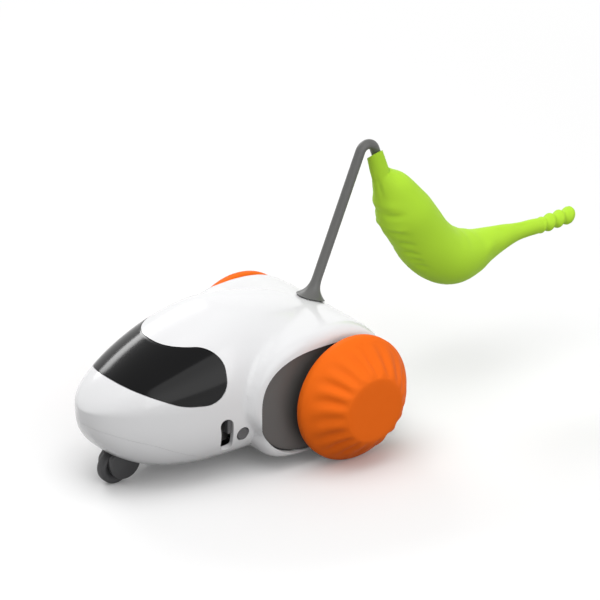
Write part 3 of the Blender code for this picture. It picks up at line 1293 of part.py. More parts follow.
def make_pole():
    curve = bpy.data.curves.new("pole", "CURVE")
    curve.dimensions = "3D"
    curve.bevel_depth = POLE_R
    curve.bevel_resolution = 2
    curve.use_fill_caps = True
    points = pole_path()
    spline = curve.splines.new("POLY")
    spline.points.add(len(points) - 1)
    for point, place in zip(spline.points, points):
        point.co = (*place, 1)
    drawn = bpy.data.objects.new("pole_wire", curve)
    TOOLS.objects.link(drawn)
    mesh = evaluated_mesh(drawn)
    bpy.data.objects.remove(drawn, do_unlink=True)
    bpy.data.curves.remove(curve)
    weld_mesh(mesh)
    mesh.name = "pole"
    pole = add_object("pole", mesh, "pole_grey")
    inner = POLE_R - GAP
    steps = 6
    profile = [(0, FOOT_HEIGHT)]
    for k in range(steps + 1):
        share = k / steps
        profile.append((inner + (FOOT_R - inner) * share ** FOOT_CURVE_POWER, FOOT_HEIGHT * (1 - share)))
    profile += [(FOOT_R, -FOOT_R), (0, -FOOT_R)]
    foot = turned("pole_foot", profile, pole_point(FOOT_EDGE), pole_point(1) - pole_point(0))
    join(pole, foot)
    cut(pole, skin("foot_limit", GAP))
    join(pole, rod("pole_plug", PLUG_R, pole_point(-PLUG_LENGTH), pole_point(FOOT_HEIGHT / 2)))


def lure_rings():
    """The lure's rings as (centre behind the axle, centre height, radius), mouth first."""
    side = Vector((TIP_ALONG.y, -TIP_ALONG.x))
    mouth = LURE_MOUTH + side * LURE_MOUTH_SHIFT
    neck = NECK_END + side * LURE_NECK_SHIFT
    rings = [(mouth.x, mouth.y, LURE_MOUTH_R), (neck.x, neck.y, LURE_NECK_R)]
    low = NECK_END.y - LURE_DROP
    rings += [(NECK_END.x + LURE_RUN * u, low + LURE_DROP * v, LURE_BULB_R * r)
              for u, v, r in LURE_SHAPE_SHARES]
    return rings


def lure_tail():
    """The ribs and the end disc: (centre behind the axle, height, radius)."""
    end_y = LURE_REACH
    low = NECK_END.y - LURE_DROP
    start = lure_rings()[-1]
    end_z = low + LURE_DROP * LURE_END_SHARES[1]
    disc_y = end_y - LURE_END_THICKNESS
    rings = []
    for k in range(RIB_COUNT, 0, -1):
        crest = disc_y - k * RIB_PITCH
        rings += [(crest - RIB_PITCH / 2, RIB_ROOT_R), (crest, RIB_R)]
    rings += [(disc_y - RIB_PITCH / 2, RIB_ROOT_R), (disc_y, LURE_END_R),
              (end_y, LURE_END_R * END_BEVEL_SHARE)]
    rise = (end_z - start[1]) / (end_y - start[0])
    return [(y, start[1] + rise * (y - start[0]), r) for y, r in rings]


def loft_rings(name, rings, sides, end_along=None, finish=None):
    """A closed solid through round rings that lie across their line, with flat ends."""
    shape = bmesh.new()
    loops = []
    for i, (y, z, radius) in enumerate(rings):
        before, after = rings[max(i - 1, 0)], rings[min(i + 1, len(rings) - 1)]
        along = Vector((0, after[0] - before[0], after[1] - before[1])).normalized()
        if i == 0:
            along = Vector((0, TIP_ALONG.x, TIP_ALONG.y))
        if i == len(rings) - 1 and end_along:
            along = Vector(end_along)
        across = along.cross(Vector((1, 0, 0)))
        centre = Vector((0, behind(y), z))
        turns = [math.tau * k / sides for k in range(sides)]
        loop = [shape.verts.new(centre + radius * (Vector((math.cos(a), 0, 0)) + across * math.sin(a)))
                for a in turns]
        loops.append(loop)
    for first, second in zip(loops, loops[1:]):
        for k in range(sides):
            n = (k + 1) % sides
            shape.faces.new((first[k], first[n], second[n], second[k]))
    shape.faces.new(loops[0])
    shape.faces.new(loops[-1])
    bmesh.ops.recalc_face_normals(shape, faces=shape.faces)
    return from_bmesh(name, shape, finish)


def make_lure():
    line = lure_rings() + lure_tail()
    lure = loft_rings("lure", line, LURE_SIDES, (0, 1, 0), "lure_green")
    low = NECK_END.y - LURE_DROP
    inner = [(NECK_END.x + LURE_RUN * u, low + LURE_DROP * v, LURE_BULB_R * r - LURE_WALL)
             for u, v, r in LURE_CAVITY_SHARES]
    cut(lure, loft_rings("lure_cavity", inner, SCREW_SIDES))
    start = LURE_MOUTH - TIP_ALONG * OVERRUN
    end = LURE_MOUTH + TIP_ALONG * LURE_BORE_DEPTH
    cut(lure, rod("lure_bore", POLE_R + GAP, (0, behind(start.x), start.y), (0, behind(end.x), end.y)))


def build_toy():
    make_upper_shell()
    make_lower_shell()
    make_visor()
    for name, sign in SIDES:
        make_side_panel(name, sign)
        make_bush(name, sign)
        make_wheel_cover(name, sign)
        make_wheel_core(name, sign)
        make_wheel_screw(name, sign)
        make_axle(name, sign)
        make_gear_train(name, sign)
        make_motor(name, sign)
        make_gearbox(name, sign)
    make_caster()
    make_main_board()
    make_sensor_board()
    make_battery()
    make_charge_socket()
    make_side_controls()
    make_pole()
    make_lure()
    make_screws()


build_toy()
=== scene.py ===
# %% [markdown]
# # A robot cat toy, dressed for its portrait
# The toy is a white egg on two big orange wheels. A grey pole on its back holds a green silicone lure.
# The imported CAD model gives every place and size. This script loads it as a fixed frame, then gives each
# visible piece a finer mesh and a finish. Every new piece sits at the origin with its place in its mesh, and
# rides on the CAD body that it belongs to, so that the toy still moves.

# %% Load the frame
import json
import math

import bmesh
import bpy
import numpy as np
from mathutils import Matrix, Vector


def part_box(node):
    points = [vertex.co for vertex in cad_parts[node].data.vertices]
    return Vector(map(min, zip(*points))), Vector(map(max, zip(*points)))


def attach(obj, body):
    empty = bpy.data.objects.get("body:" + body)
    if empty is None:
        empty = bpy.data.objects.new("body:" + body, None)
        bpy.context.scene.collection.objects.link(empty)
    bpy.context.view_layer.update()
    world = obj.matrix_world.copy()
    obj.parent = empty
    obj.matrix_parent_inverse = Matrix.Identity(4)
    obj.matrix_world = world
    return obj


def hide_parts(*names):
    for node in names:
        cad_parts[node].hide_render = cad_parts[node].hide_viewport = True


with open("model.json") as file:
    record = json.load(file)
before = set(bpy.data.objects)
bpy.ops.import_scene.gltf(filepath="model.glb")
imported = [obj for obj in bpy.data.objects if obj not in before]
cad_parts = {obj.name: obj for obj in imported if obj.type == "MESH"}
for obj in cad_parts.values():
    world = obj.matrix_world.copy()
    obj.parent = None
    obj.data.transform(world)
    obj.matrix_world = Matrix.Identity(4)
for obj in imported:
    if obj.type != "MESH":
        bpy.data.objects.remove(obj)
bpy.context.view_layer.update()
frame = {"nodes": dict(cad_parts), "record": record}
nodes = frame["nodes"]

# %% [markdown]
# ## Where things are
# Lengths along the toy are counted from the wheel axle, so that the numbers below stay the same wherever the
# frame's origin lies. The axle's own place is read from the frame. Points ahead of the axle are at
# negative y, as the nose points that way.

# %% The axle, and places counted from it
low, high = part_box("left_axle")
AXLE_Y = (low.y + high.y) / 2
AXLE_Z = (low.z + high.z) / 2
SIDES = (("left", 1), ("right", -1))


def ahead(distance):
    return AXLE_Y - distance


def behind(distance):
    return AXLE_Y + distance


print("axle at", round(AXLE_Y * 1000, 2), round(AXLE_Z * 1000, 2))

# %% [markdown]
# ## Camera
# The camera stands off the toy's front left corner, a little above it. It is a long lens from far away, which
# keeps the wheels' circles clean ellipses. A small lens shift puts the toy off centre in the picture,
# without turning the camera.

# %% Camera
VIEW_FROM = Vector((0.724, -0.539, 0.4305)).normalized()
VIEW_DISTANCE = 1.6
target = Vector((0, AXLE_Y, 0.0285))
SENSOR_MM, LENS_MM = 36, 218.18
lens = bpy.data.cameras.new("camera")
lens.sensor_width, lens.lens = SENSOR_MM, LENS_MM
lens.shift_x, lens.shift_y = 0.00942, 0.10633
lens.clip_start, lens.clip_end = 0.1, 20
camera = bpy.data.objects.new("camera", lens)
across = Vector((0, 0, 1)).cross(VIEW_FROM).normalized()
upright = VIEW_FROM.cross(across)
stand = Matrix((across, upright, VIEW_FROM)).transposed().to_4x4()
stand.translation = target + VIEW_FROM * VIEW_DISTANCE
camera.matrix_world = stand
bpy.context.scene.collection.objects.link(camera)
bpy.context.scene.camera = camera

# %% [markdown]
# ## Shader maths as plain expressions
# A material is a graph of nodes. Writing `1 - mask * 0.5` is easier to read than three Math nodes, so a small
# class wraps a socket and lets Python's own operators add those nodes. Every other node comes from
# `add_node`, which takes the node's type, its settings, and what goes into its sockets.

# %% Wires and finishes
def operator(operation, flipped=False):
    """A method that adds one Math node; flipped is for a number that stands before the wire."""
    def method(self, other):
        first, second = (other, self) if flipped else (self, other)
        return self.maths(operation, first, second)
    return method


class Wire:
    """An output socket that can be used in sums."""

    def __init__(self, tree, socket):
        self.tree = tree
        self.socket = socket

    def maths(self, operation, first, second):
        node = self.tree.nodes.new("ShaderNodeMath")
        node.operation = operation
        for socket, value in zip(node.inputs, (first, second)):
            plug(self.tree, socket, value)
        return Wire(self.tree, node.outputs[0])

    __add__, __radd__ = operator("ADD"), operator("ADD", True)
    __sub__, __rsub__ = operator("SUBTRACT"), operator("SUBTRACT", True)
    __mul__, __rmul__ = operator("MULTIPLY"), operator("MULTIPLY", True)
    __pow__, __gt__ = operator("POWER"), operator("GREATER_THAN")


def plug(tree, socket, value):
    """Link a wire to a socket, or set the socket's own value."""
    if value is None:
        return
    if isinstance(value, Wire):
        tree.links.new(value.socket, socket)
    else:
        socket.default_value = value


def add_node(tree, kind, settings=None, out=0, **sockets):
    """Add a node. A socket goes by its name, or by _ and its number; an underscore stands for a space."""
    made = tree.nodes.new("ShaderNode" + kind)
    for key, value in (settings or {}).items():
        setattr(made, key, value)
    for key, value in sockets.items():
        name = key.replace("_", " ")
        found = [s for s in made.inputs if s.name == name and s.enabled] or [made.inputs[int(key[1:])]]
        plug(tree, found[0], value)
    return Wire(tree, made.outputs[out])


class Finish:
    """A material with one Principled shader."""

    def __init__(self, name, **constants):
        self.material = bpy.data.materials.new(name)
        self.material.use_nodes = True
        self.tree = self.material.node_tree
        self.shader = self.tree.nodes["Principled BSDF"]
        self.feed(**constants)

    def feed(self, **values):
        """Set or link the shader's inputs."""
        for name, value in values.items():
            plug(self.tree, self.shader.inputs[name.replace("_", " ")], value)

    def node(self, kind, settings=None, out=0, **sockets):
        return add_node(self.tree, kind, settings, out, **sockets)

    def place(self):
        """Object coordinates, which stay with the piece."""
        return self.node("TexCoord", out=3)

    def stretched(self, scale):
        """Object coordinates, scaled differently each way."""
        return self.node("Mapping", Vector=self.place(), Scale=scale)

    def noise(self, scale, detail=2.0, vector=None):
        return self.node("TexNoise", Vector=vector or self.place(), Scale=scale, Detail=detail)

    def mix(self, mask, first, second):
        return self.node("Mix", {"data_type": "RGBA"}, out=2, Factor=mask, _6=first, _7=second)

    def bump(self, height, distance, strength=1.0, under=None):
        return self.node("Bump", Strength=strength, Distance=distance, Height=height, Normal=under)


def shade(colour, factor):
    """A colour made lighter or darker, with its alpha kept."""
    return tuple(min(c * factor, 1) for c in colour[:3]) + (1,)


# %% [markdown]
# ## Finishes
# Moulded plastic is never one flat colour. Up close it has a fine grain from the mould, slight clouds in its
# gloss where hands have touched it, and faint shifts of tint. All of these come from noise on the piece's own
# coordinates, at three scales: millimetres for clouds, tenths of a millimetre for grain, and centimetres for
# tint. One helper makes them all, and each finish adds what is its own.

# %% Moulded plastics and rubbers
def moulded(name, colour, roughness, grain, depth, tint=0.04, gloss=0.05, **constants):
    """A moulded finish: grain is its size per metre, depth its height in metres."""
    made = Finish(name, **constants)
    clouds = made.noise(60, 3)
    wide = made.noise(18, 2)
    made.feed(
        Base_Color=made.mix(wide, shade(colour, 1 - tint), shade(colour, 1 + tint)),
        Roughness=clouds * (gloss * 2) + (roughness - gloss),
        Normal=made.bump(made.noise(grain, 2), depth),
    )
    return made


FINISHES = {
    "white_shell": moulded("gloss_white", (0.83, 0.83, 0.84), 0.20, 900, 0.000012, tint=0.01, gloss=0.03,
                           Coat_Weight=0.5, Coat_Roughness=0.05, IOR=1.5),
    "visor": moulded("visor_black", (0.003, 0.003, 0.0034), 0.14, 500, 0.000003, tint=0.2, gloss=0.02,
                     Specular_IOR_Level=0.28, IOR=1.5),
    "panel": moulded("panel_grey", (0.104, 0.100, 0.096), 0.42, 2600, 0.00003, tint=0.05),
    "wheel_core": moulded("core_black", (0.02, 0.02, 0.02), 0.5, 2200, 0.00003),
    "caster": moulded("caster_grey", (0.045, 0.045, 0.047), 0.38, 2400, 0.00002, tint=0.06),
    "caster_tread": moulded("tread_grey", (0.05, 0.05, 0.052), 0.55, 2800, 0.00004, tint=0.08),
    "control": moulded("control_grey", (0.09, 0.09, 0.094), 0.34, 2600, 0.00002, tint=0.05),
    "pole": moulded("pole_grey", (0.125, 0.125, 0.121), 0.40, 3000, 0.000025, tint=0.05),
    "gearbox": moulded("gearbox_black", (0.02, 0.02, 0.022), 0.48, 2000, 0.00004),
    "gear": moulded("acetal", (0.70, 0.68, 0.60), 0.42, 2400, 0.00002, Subsurface_Weight=0.1,
                    Subsurface_Scale=0.002),
    "component": moulded("component_black", (0.012, 0.012, 0.012), 0.4, 3000, 0.00002),
}

# %% [markdown]
# The wheel covers and the lure are silicone. It is matte, a little soft under the light, and it gathers
# dust. Sheen gives the dusty look at grazing angles, and the tint drifts more widely than in hard plastic.

# %% Silicone
def silicone(name, colour, deep, roughness):
    made = Finish(name, Sheen_Weight=0.02, Sheen_Roughness=0.5, IOR=1.30, Specular_IOR_Level=0.30)
    wide = made.noise(26, 3)
    specks = made.noise(5200, 1) ** 6.0
    tinted = made.mix(wide, deep, colour)
    made.feed(
        Base_Color=made.mix(specks * 0.6, tinted, shade(colour, 1.25)),
        Roughness=made.noise(140, 2) * 0.16 + (roughness - 0.08),
        Normal=made.bump(made.noise(1500, 3), 0.00003),
    )
    return made


FINISHES["wheel_cover"] = silicone("orange_silicone", (0.98, 0.170, 0.008, 1), (0.93, 0.150, 0.006, 1), 0.64)
FINISHES["lure"] = silicone("green_silicone", (0.50, 0.82, 0.050, 1), (0.46, 0.78, 0.040, 1), 0.56)

# %% [markdown]
# Inside the toy are metal, boards and a cell. Turned steel gets fine rings of scratches from noise squeezed
# along one axis, sintered bronze a pitted grain. A board is green resist over copper tracks: thresholded
# noise draws the tracks, and a wider one the pads. The cell is shrink wrap, smooth with slight waves.

# %% Metals, boards and the cell
def metal(name, colour, roughness, scratches):
    made = Finish(name, Metallic=1.0)
    lines = made.noise(1, 2, made.stretched(scratches))
    made.feed(
        Base_Color=made.mix(made.noise(300, 2), shade(colour, 0.9), shade(colour, 1.06)),
        Roughness=lines * 0.2 + (roughness - 0.1),
        Normal=made.bump(lines, 0.00001),
    )
    return made


FINISHES["steel"] = metal("turned_steel", (0.56, 0.56, 0.57), 0.30, (9000, 500, 500))
FINISHES["bronze"] = metal("sintered_bronze", (0.50, 0.33, 0.16), 0.42, (2600, 2600, 2600))

board = Finish("green_board", Coat_Weight=0.3, Coat_Roughness=0.2)
tracks = board.node("TexBrick", {"offset": 0.5}, out=1, Vector=board.place(), Scale=180.0, Mortar_Size=0.06)
pads = board.noise(900, 1) > 0.63
board.feed(
    Base_Color=board.mix(pads * 0.8, board.mix(tracks, (0.012, 0.13, 0.05, 1), (0.02, 0.20, 0.08, 1)),
                         (0.55, 0.52, 0.42, 1)),
    Roughness=board.noise(400, 2) * 0.1 + 0.33,
    Metallic=pads * 0.7,
    Normal=board.bump(tracks, 0.00004),
)
FINISHES["board"] = board
FINISHES["battery"] = moulded("shrink_wrap", (0.04, 0.13, 0.40), 0.30, 220, 0.00008, tint=0.08)

for made in FINISHES.values():
    made.material.diffuse_color = (0.5, 0.5, 0.5, 1)
print(len(FINISHES), "finishes")

# %% Give every CAD piece its finish
for row in frame["record"]["subparts"]:
    piece = nodes[row["node"]]
    piece.data.materials.clear()
    piece.data.materials.append(FINISHES[row["material_slot"]].material)

# %% [markdown]
# ## Making and carving pieces
# Each new piece is drawn in a bmesh, becomes an object at the origin, and then rides on a CAD body and stands
# for a CAD node. Openings are carved by Boolean modifiers, which are applied straight away so that the piece
# is left with a plain mesh. Edges sharper than the given angle stay crisp and the rest is shaded smooth.

# %% Helpers for pieces
MERGE, TINY = 0.000002, 0.00001


def new_piece(name, shape, slot=None, crisp=35):
    """An object from a bmesh, shaded smooth except at crisp edges."""
    bmesh.ops.remove_doubles(shape, verts=shape.verts, dist=MERGE)
    bmesh.ops.recalc_face_normals(shape, faces=shape.faces)
    mesh = bpy.data.meshes.new(name)
    shape.to_mesh(mesh)
    shape.free()
    piece = bpy.data.objects.new(name, mesh)
    bpy.context.scene.collection.objects.link(piece)
    finish_mesh(piece, slot, crisp)
    return piece


def finish_mesh(piece, slot, crisp=35):
    piece.data.shade_smooth()
    piece.data.set_sharp_from_angle(angle=math.radians(crisp))
    piece.data.materials.clear()
    if slot:
        piece.data.materials.append(FINISHES[slot].material)


def stands_for(piece, body, *replaced, slot=None, crisp=40):
    """The piece moves with a body and is shown in place of CAD nodes. A carved one gets its finish here."""
    if slot:
        finish_mesh(piece, slot, crisp)
    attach(piece, body)
    if replaced:
        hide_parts(*replaced)
    return piece


def applied(piece):
    """Replace the piece's mesh by what its modifiers make of it."""
    bpy.context.view_layer.update()
    graph = bpy.context.evaluated_depsgraph_get()
    mesh = bpy.data.meshes.new_from_object(piece.evaluated_get(graph))
    piece.modifiers.clear()
    piece.data = mesh
    return piece


def carve(piece, operation, *tools):
    """Cut tools out of the piece, or keep what lies inside them, and throw the tools away."""
    for tool in tools:
        modifier = piece.modifiers.new("carve", "BOOLEAN")
        modifier.operation = operation
        modifier.solver = "EXACT"
        modifier.object = tool
    applied(piece)
    for tool in tools:
        bpy.data.objects.remove(tool, do_unlink=True)
    return piece


def plate(outline, low, high, axis="X"):
    """A flat outline pushed out from low to high, as a bmesh. Its points are (y, z), or (x, z) for axis Y."""
    shape = bmesh.new()
    flat_x = axis == "X"
    corners = [shape.verts.new((low, u, v) if flat_x else (u, low, v)) for u, v in outline]
    edges = [shape.edges.new(pair) for pair in zip(corners, corners[1:] + corners[:1])]
    bmesh.ops.triangle_fill(shape, edges=edges, use_beauty=True, use_dissolve=False)
    pushed = bmesh.ops.extrude_face_region(shape, geom=shape.faces[:] + shape.edges[:] + shape.verts[:])["geom"]
    moved = [item for item in pushed if isinstance(item, bmesh.types.BMVert)]
    push = Vector((high - low, 0, 0)) if flat_x else Vector((0, high - low, 0))
    bmesh.ops.translate(shape, vec=push, verts=moved)
    bmesh.ops.recalc_face_normals(shape, faces=shape.faces)
    return shape


def cutter(outline, low, high, axis="X"):
    return new_piece("cutter", plate(outline, low, high, axis))


def facing(direction, place):
    """The matrix that turns the Z axis to a direction and moves the origin to a place."""
    turn = Vector(direction).to_track_quat("Z", "Y").to_matrix().to_4x4()
    return Matrix.Translation(Vector(place)) @ turn


def rod(radius, start, end, sides=32):
    """A round bar between two points, as a cutter."""
    start, end = Vector(start), Vector(end)
    shape = bmesh.new()
    bmesh.ops.create_cone(shape, cap_ends=True, segments=sides, radius1=radius, radius2=radius,
                          depth=(end - start).length, matrix=facing(end - start, (start + end) / 2))
    return new_piece("rod", shape)


def round_off(shape, edges, offset, segments=3):
    bmesh.ops.bevel(shape, geom=edges, offset=offset, segments=segments, profile=0.5, affect="EDGES",
                    material=-1)


def rim(shape, x):
    """The sharp edges round a plate's face at x."""
    return [e for e in shape.edges if all(abs(v.co.x - x) < TINY for v in e.verts)
            and e.calc_face_angle(0) > 1]


# %% [markdown]
# ## The body's skin
# The white body is an egg with a drum laid across it, whose ends make the shoulders over the wheels. Both
# are given by formulas that are 1 on the surface, less inside and more outside. Blending the two values
# melts the forms into each other, softly up high and with a crease down low. A sphere of points is
# then pushed out until each point reaches the value 1. This keeps the skin perfectly smooth, so its
# highlights flow as on a moulded shell.

# %% The egg, the drum and their blend
NOSE_REACH, TAIL_REACH = 0.1120, 0.0405
NOSE_Z, TAIL_Z = 0.0385, 0.0295
EGG_HALF_WIDTH, EGG_WIDEST = 0.0314, -0.0511
EGG_ROOF_Z, EGG_ROOF = 0.0704, -0.0432
EGG_BELLY_Z, EGG_BELLY = 0.0064, -0.0629
WIDTH_POWERS = (1.71, 2.16), (2.4, 2.4)
ROOF_POWERS = (1.59, 1.31), (1.76, 1.33)
BELLY_POWERS = (2.03, 2.41), (3.4, 3.8)
EGG_TOP_POWER, EGG_LOW_POWER = 2.42, 3.2
DRUM_HALF_WIDTH, DRUM_MIDDLE, DRUM_Z = 0.0360, -0.0095, 0.0300
DRUM_FRONT, DRUM_TUCK, DRUM_REAR = 0.0400, 0.0060, 0.0356
DRUM_RISE, DRUM_DROP, DRUM_LIP = 0.0310, 0.0256, 0.0012
DRUM_TOP_POWER, DRUM_FRONT_POWER, DRUM_REAR_POWER, DRUM_EDGE_POWER = 2.4, 4.6, 2.8, 12
CREASE, MELT = 0.004, 0.026
BELLY_FLAT_Z = 0.0050
SHELL_WALL, GAP, SEAM = 0.0020, 0.0003, 0.00008
SEARCH_REACH, SEARCH_STEPS = 0.08, 30


def smooth_step(value, low, high):
    share = np.clip((value - low) / (high - low), 0, 1)
    return share * share * (3 - 2 * share)


def fullness(station, crest, nose_powers, tail_powers):
    """How full the egg is along its length: 1 at its crest, 0 at its tips."""
    front = np.clip((crest - station) / (crest + NOSE_REACH), 0, 1)
    rear = np.clip((station - crest) / (TAIL_REACH - crest), 0, 1)
    nose = np.maximum(1 - front ** nose_powers[0], 0) ** (1 / nose_powers[1])
    tail = np.maximum(1 - rear ** tail_powers[0], 0) ** (1 / tail_powers[1])
    return np.where(station < crest, nose, tail)


def belt_height(station):
    return NOSE_Z + (TAIL_Z - NOSE_Z) * (station + NOSE_REACH) / (NOSE_REACH + TAIL_REACH)


def egg_value(x, station, z):
    belt = belt_height(station)
    half = np.maximum(EGG_HALF_WIDTH * fullness(station, EGG_WIDEST, *WIDTH_POWERS), TINY)
    roof = (EGG_ROOF_Z - belt) * fullness(station, EGG_ROOF, *ROOF_POWERS)
    belly = (belt - EGG_BELLY_Z) * fullness(station, EGG_BELLY, *BELLY_POWERS)
    reach = np.maximum(np.where(z > belt, roof, belly), TINY)
    power = np.where(z > belt, EGG_TOP_POWER, EGG_LOW_POWER)
    return ((np.abs(x) / half) ** power + (np.abs(z - belt) / reach) ** power) ** (1 / power)


def drum_value(x, station, z):
    along, up = station - DRUM_MIDDLE, z - DRUM_Z
    low = smooth_step(-up, -0.0020, 0.0120)
    reach = np.where(along < 0, DRUM_FRONT - DRUM_TUCK * low, DRUM_REAR)
    height = np.where(up > 0, DRUM_RISE, DRUM_DROP)
    power = np.where(up > 0, DRUM_TOP_POWER, np.where(along < 0, DRUM_FRONT_POWER, DRUM_REAR_POWER))
    ring = ((np.abs(along) / reach) ** power + (np.abs(up) / height) ** power) ** (1 / power)
    half = DRUM_HALF_WIDTH + DRUM_LIP * low
    return ((np.abs(x) / half) ** DRUM_EDGE_POWER + ring ** DRUM_EDGE_POWER) ** (1 / DRUM_EDGE_POWER)


def body_value(x, station, z):
    egg, drum = egg_value(x, station, z), drum_value(x, station, z)
    soft = CREASE + MELT * smooth_step(z, 0.0200, 0.0280)
    mix = np.clip(0.5 + 0.5 * (drum - egg) / soft, 0, 1)
    return drum * (1 - mix) + egg * mix - soft * mix * (1 - mix)


def skin_radius(station, angle):
    """How far the skin lies from the belt, found by halving the search range."""
    inner = np.zeros_like(station)
    outer = np.full_like(station, SEARCH_REACH)
    for _ in range(SEARCH_STEPS):
        middle = (inner + outer) / 2
        inside = body_value(middle * np.cos(angle), station,
                            belt_height(station) + middle * np.sin(angle)) < 1
        inner = np.where(inside, middle, inner)
        outer = np.where(inside, outer, middle)
    return inner


# %% The skin as a mesh
SKIN_SIDES, SKIN_STATIONS = 144, 150


def skin(offset=0.0):
    """The closed skin, moved outwards by offset, as a bmesh."""
    shape = bmesh.new()
    bmesh.ops.create_uvsphere(shape, u_segments=SKIN_SIDES, v_segments=SKIN_STATIONS, radius=1.0)
    points = np.array([v.co for v in shape.verts])
    at_tip = np.hypot(points[:, 0], points[:, 1]) < TINY
    angle = np.where(at_tip, 0.0, np.arctan2(points[:, 1], points[:, 0]))
    middle, half = (TAIL_REACH - NOSE_REACH) / 2, (TAIL_REACH + NOSE_REACH) / 2
    station = middle + half * points[:, 2]
    radius = np.where(at_tip, 0.0, skin_radius(station, angle) + offset)
    height = np.maximum(belt_height(station) + radius * np.sin(angle), BELLY_FLAT_Z - offset)
    place = np.stack([radius * np.cos(angle), AXLE_Y + station + offset * points[:, 2], height], axis=1)
    for vertex, co in zip(shape.verts, place):
        vertex.co = co
    return shape


def walled_skin(name, wall):
    """The skin with a wall that grows inwards."""
    piece = new_piece(name, skin())
    solid = piece.modifiers.new("wall", "SOLIDIFY")
    solid.thickness = wall
    solid.offset = -1
    return applied(piece)


# %% [markdown]
# ## Outlines that the shells share
# The parting line between the shells, the side panels and the visor are flat outlines, seen from the side.
# The visor's corners are rounded with arcs, the panel is a superellipse, and the parting line is a smooth
# line through a few points.

# %% Parting line, panel and visor outlines
def smooth_line(points, steps):
    """A Catmull-Rom line through the points."""
    line = []
    for i in range(len(points) - 1):
        p = [np.array(points[k]) for k in (max(i - 1, 0), i, i + 1, min(i + 2, len(points) - 1))]
        for t in np.arange(steps) / steps:
            line.append(0.5 * (2 * p[1] + (p[2] - p[0]) * t + (2 * p[0] - 5 * p[1] + 4 * p[2] - p[3]) * t * t
                               + (3 * p[1] - p[0] - 3 * p[2] + p[3]) * t ** 3))
    return line + [np.array(points[-1])]


PARTING_REAR, PARTING_TAIL_Z = 0.0320, 0.0200
PARTING_SHARES = (1.0, 0.9125, 0.825, 0.7375, 0.6, 0.475, 0.3625, 0.2625, 0.175, 0.1, 0.0)
PARTING_HEIGHTS = (0.0324, 0.0301, 0.0272, 0.0246, 0.0190, 0.0145, 0.0122, 0.0130, 0.0172, 0.0197, 0.0200)
SPAN = DRUM_HALF_WIDTH + 0.004


def parting_region(shift, far_z):
    """All that lies on one side of the parting line."""
    spread = NOSE_REACH - PARTING_REAR
    points = [(ahead(PARTING_REAR + share * spread), z + shift)
              for share, z in zip(PARTING_SHARES, PARTING_HEIGHTS)]
    line = [tuple(p) for p in smooth_line(points, 5)]
    front, rear = ahead(NOSE_REACH) - 0.004, behind(TAIL_REACH) + 0.004
    outline = [(front, far_z), (front, line[0][1]), *line, (rear, PARTING_TAIL_Z + shift), (rear, far_z)]
    return cutter(outline, -SPAN, SPAN)


PANEL_AHEAD, PANEL_Z, PANEL_FACE_X, PANEL_THICKNESS = 0.0100, 0.0300, 0.0340, 0.0030
PANEL_REACH, PANEL_RISE, PANEL_DROP, PANEL_POWER = 0.0336, 0.0237, 0.0240, 2.6


def panel_outline(clearance, count=96):
    """The panel's superellipse, drawn smaller by the clearance."""
    angle = np.arange(count) * math.tau / count
    c, s = np.cos(angle), np.sin(angle)
    along = (PANEL_REACH - clearance) * np.sign(c) * np.abs(c) ** (2 / PANEL_POWER)
    reach = np.where(s > 0, PANEL_RISE, PANEL_DROP) - clearance
    up = reach * np.sign(s) * np.abs(s) ** (2 / PANEL_POWER)
    return [(ahead(PANEL_AHEAD) + u, PANEL_Z + v) for u, v in zip(along, up)]


VISOR_CORNERS = ((-0.0030, 0.0618, 0), (0.0554, 0.0618, 0.0085), (0.0538, 0.0382, 0.0100),
                 (0.0340, 0.0406, 0.0300), (0.0134, 0.0503, 0), (-0.0030, 0.0580, 0))


def visor_outline(grow, steps=14):
    """The visor's outline with rounded corners, each edge moved outwards by grow."""
    corners = [(Vector((ahead(NOSE_REACH - inset), z)), radius) for inset, z, radius in VISOR_CORNERS]
    count = len(corners)
    moved = []
    for i, (here, radius) in enumerate(corners):
        into = (here - corners[i - 1][0]).normalized()
        out = (corners[(i + 1) % count][0] - here).normalized()
        first, second = Vector((-into.y, into.x)), Vector((-out.y, out.x))
        middle = (first + second).normalized()
        bend = into.x * out.y - into.y * out.x
        moved.append((here + middle * grow / middle.dot(first),
                      max(radius + (grow if bend < 0 else -grow), 0) if radius else 0))
    outline = []
    for i, (here, radius) in enumerate(moved):
        if not radius:
            outline.append(tuple(here))
            continue
        back = (moved[i - 1][0] - here).normalized()
        on = (moved[(i + 1) % count][0] - here).normalized()
        half = back.angle(on) / 2
        centre = here + (back + on).normalized() * (radius / math.sin(half))
        start = here + back * (radius / math.tan(half)) - centre
        end = here + on * (radius / math.tan(half)) - centre
        sweep = -start.angle_signed(end)
        for k in range(steps + 1):
            outline.append(tuple(centre + Matrix.Rotation(sweep * k / steps, 2) @ start))
    return outline


# %% [markdown]
# ## The shells
# The upper and lower shells are the same skin with a wall, each cut along the parting line. The upper one has
# openings for the visor, the side panels, the switch slot, the push button, the pole and the charging port.
# The lower one has the well that the caster turns in, with a boss on top for its stem.

# %% Upper shell
SLOT_AHEAD, SLOT_LOW_Z, SLOT_HIGH_Z, SLOT_WIDTH = 0.0588, 0.0146, 0.0307, 0.0065
SLOT_SLANT, SLOT_SLOPE, SLOT_SKIN_X, SLOT_FLOOR_X = 0.0012, 0.7, 0.0268, 0.0200
BUTTON_AHEAD, BUTTON_Z, BUTTON_R = 0.0500, 0.0213, 0.0029
SOCKET_R = 0.0026
PORT_Z, PORT_HALF, PORT_R = 0.0290, 0.0029, 0.0020


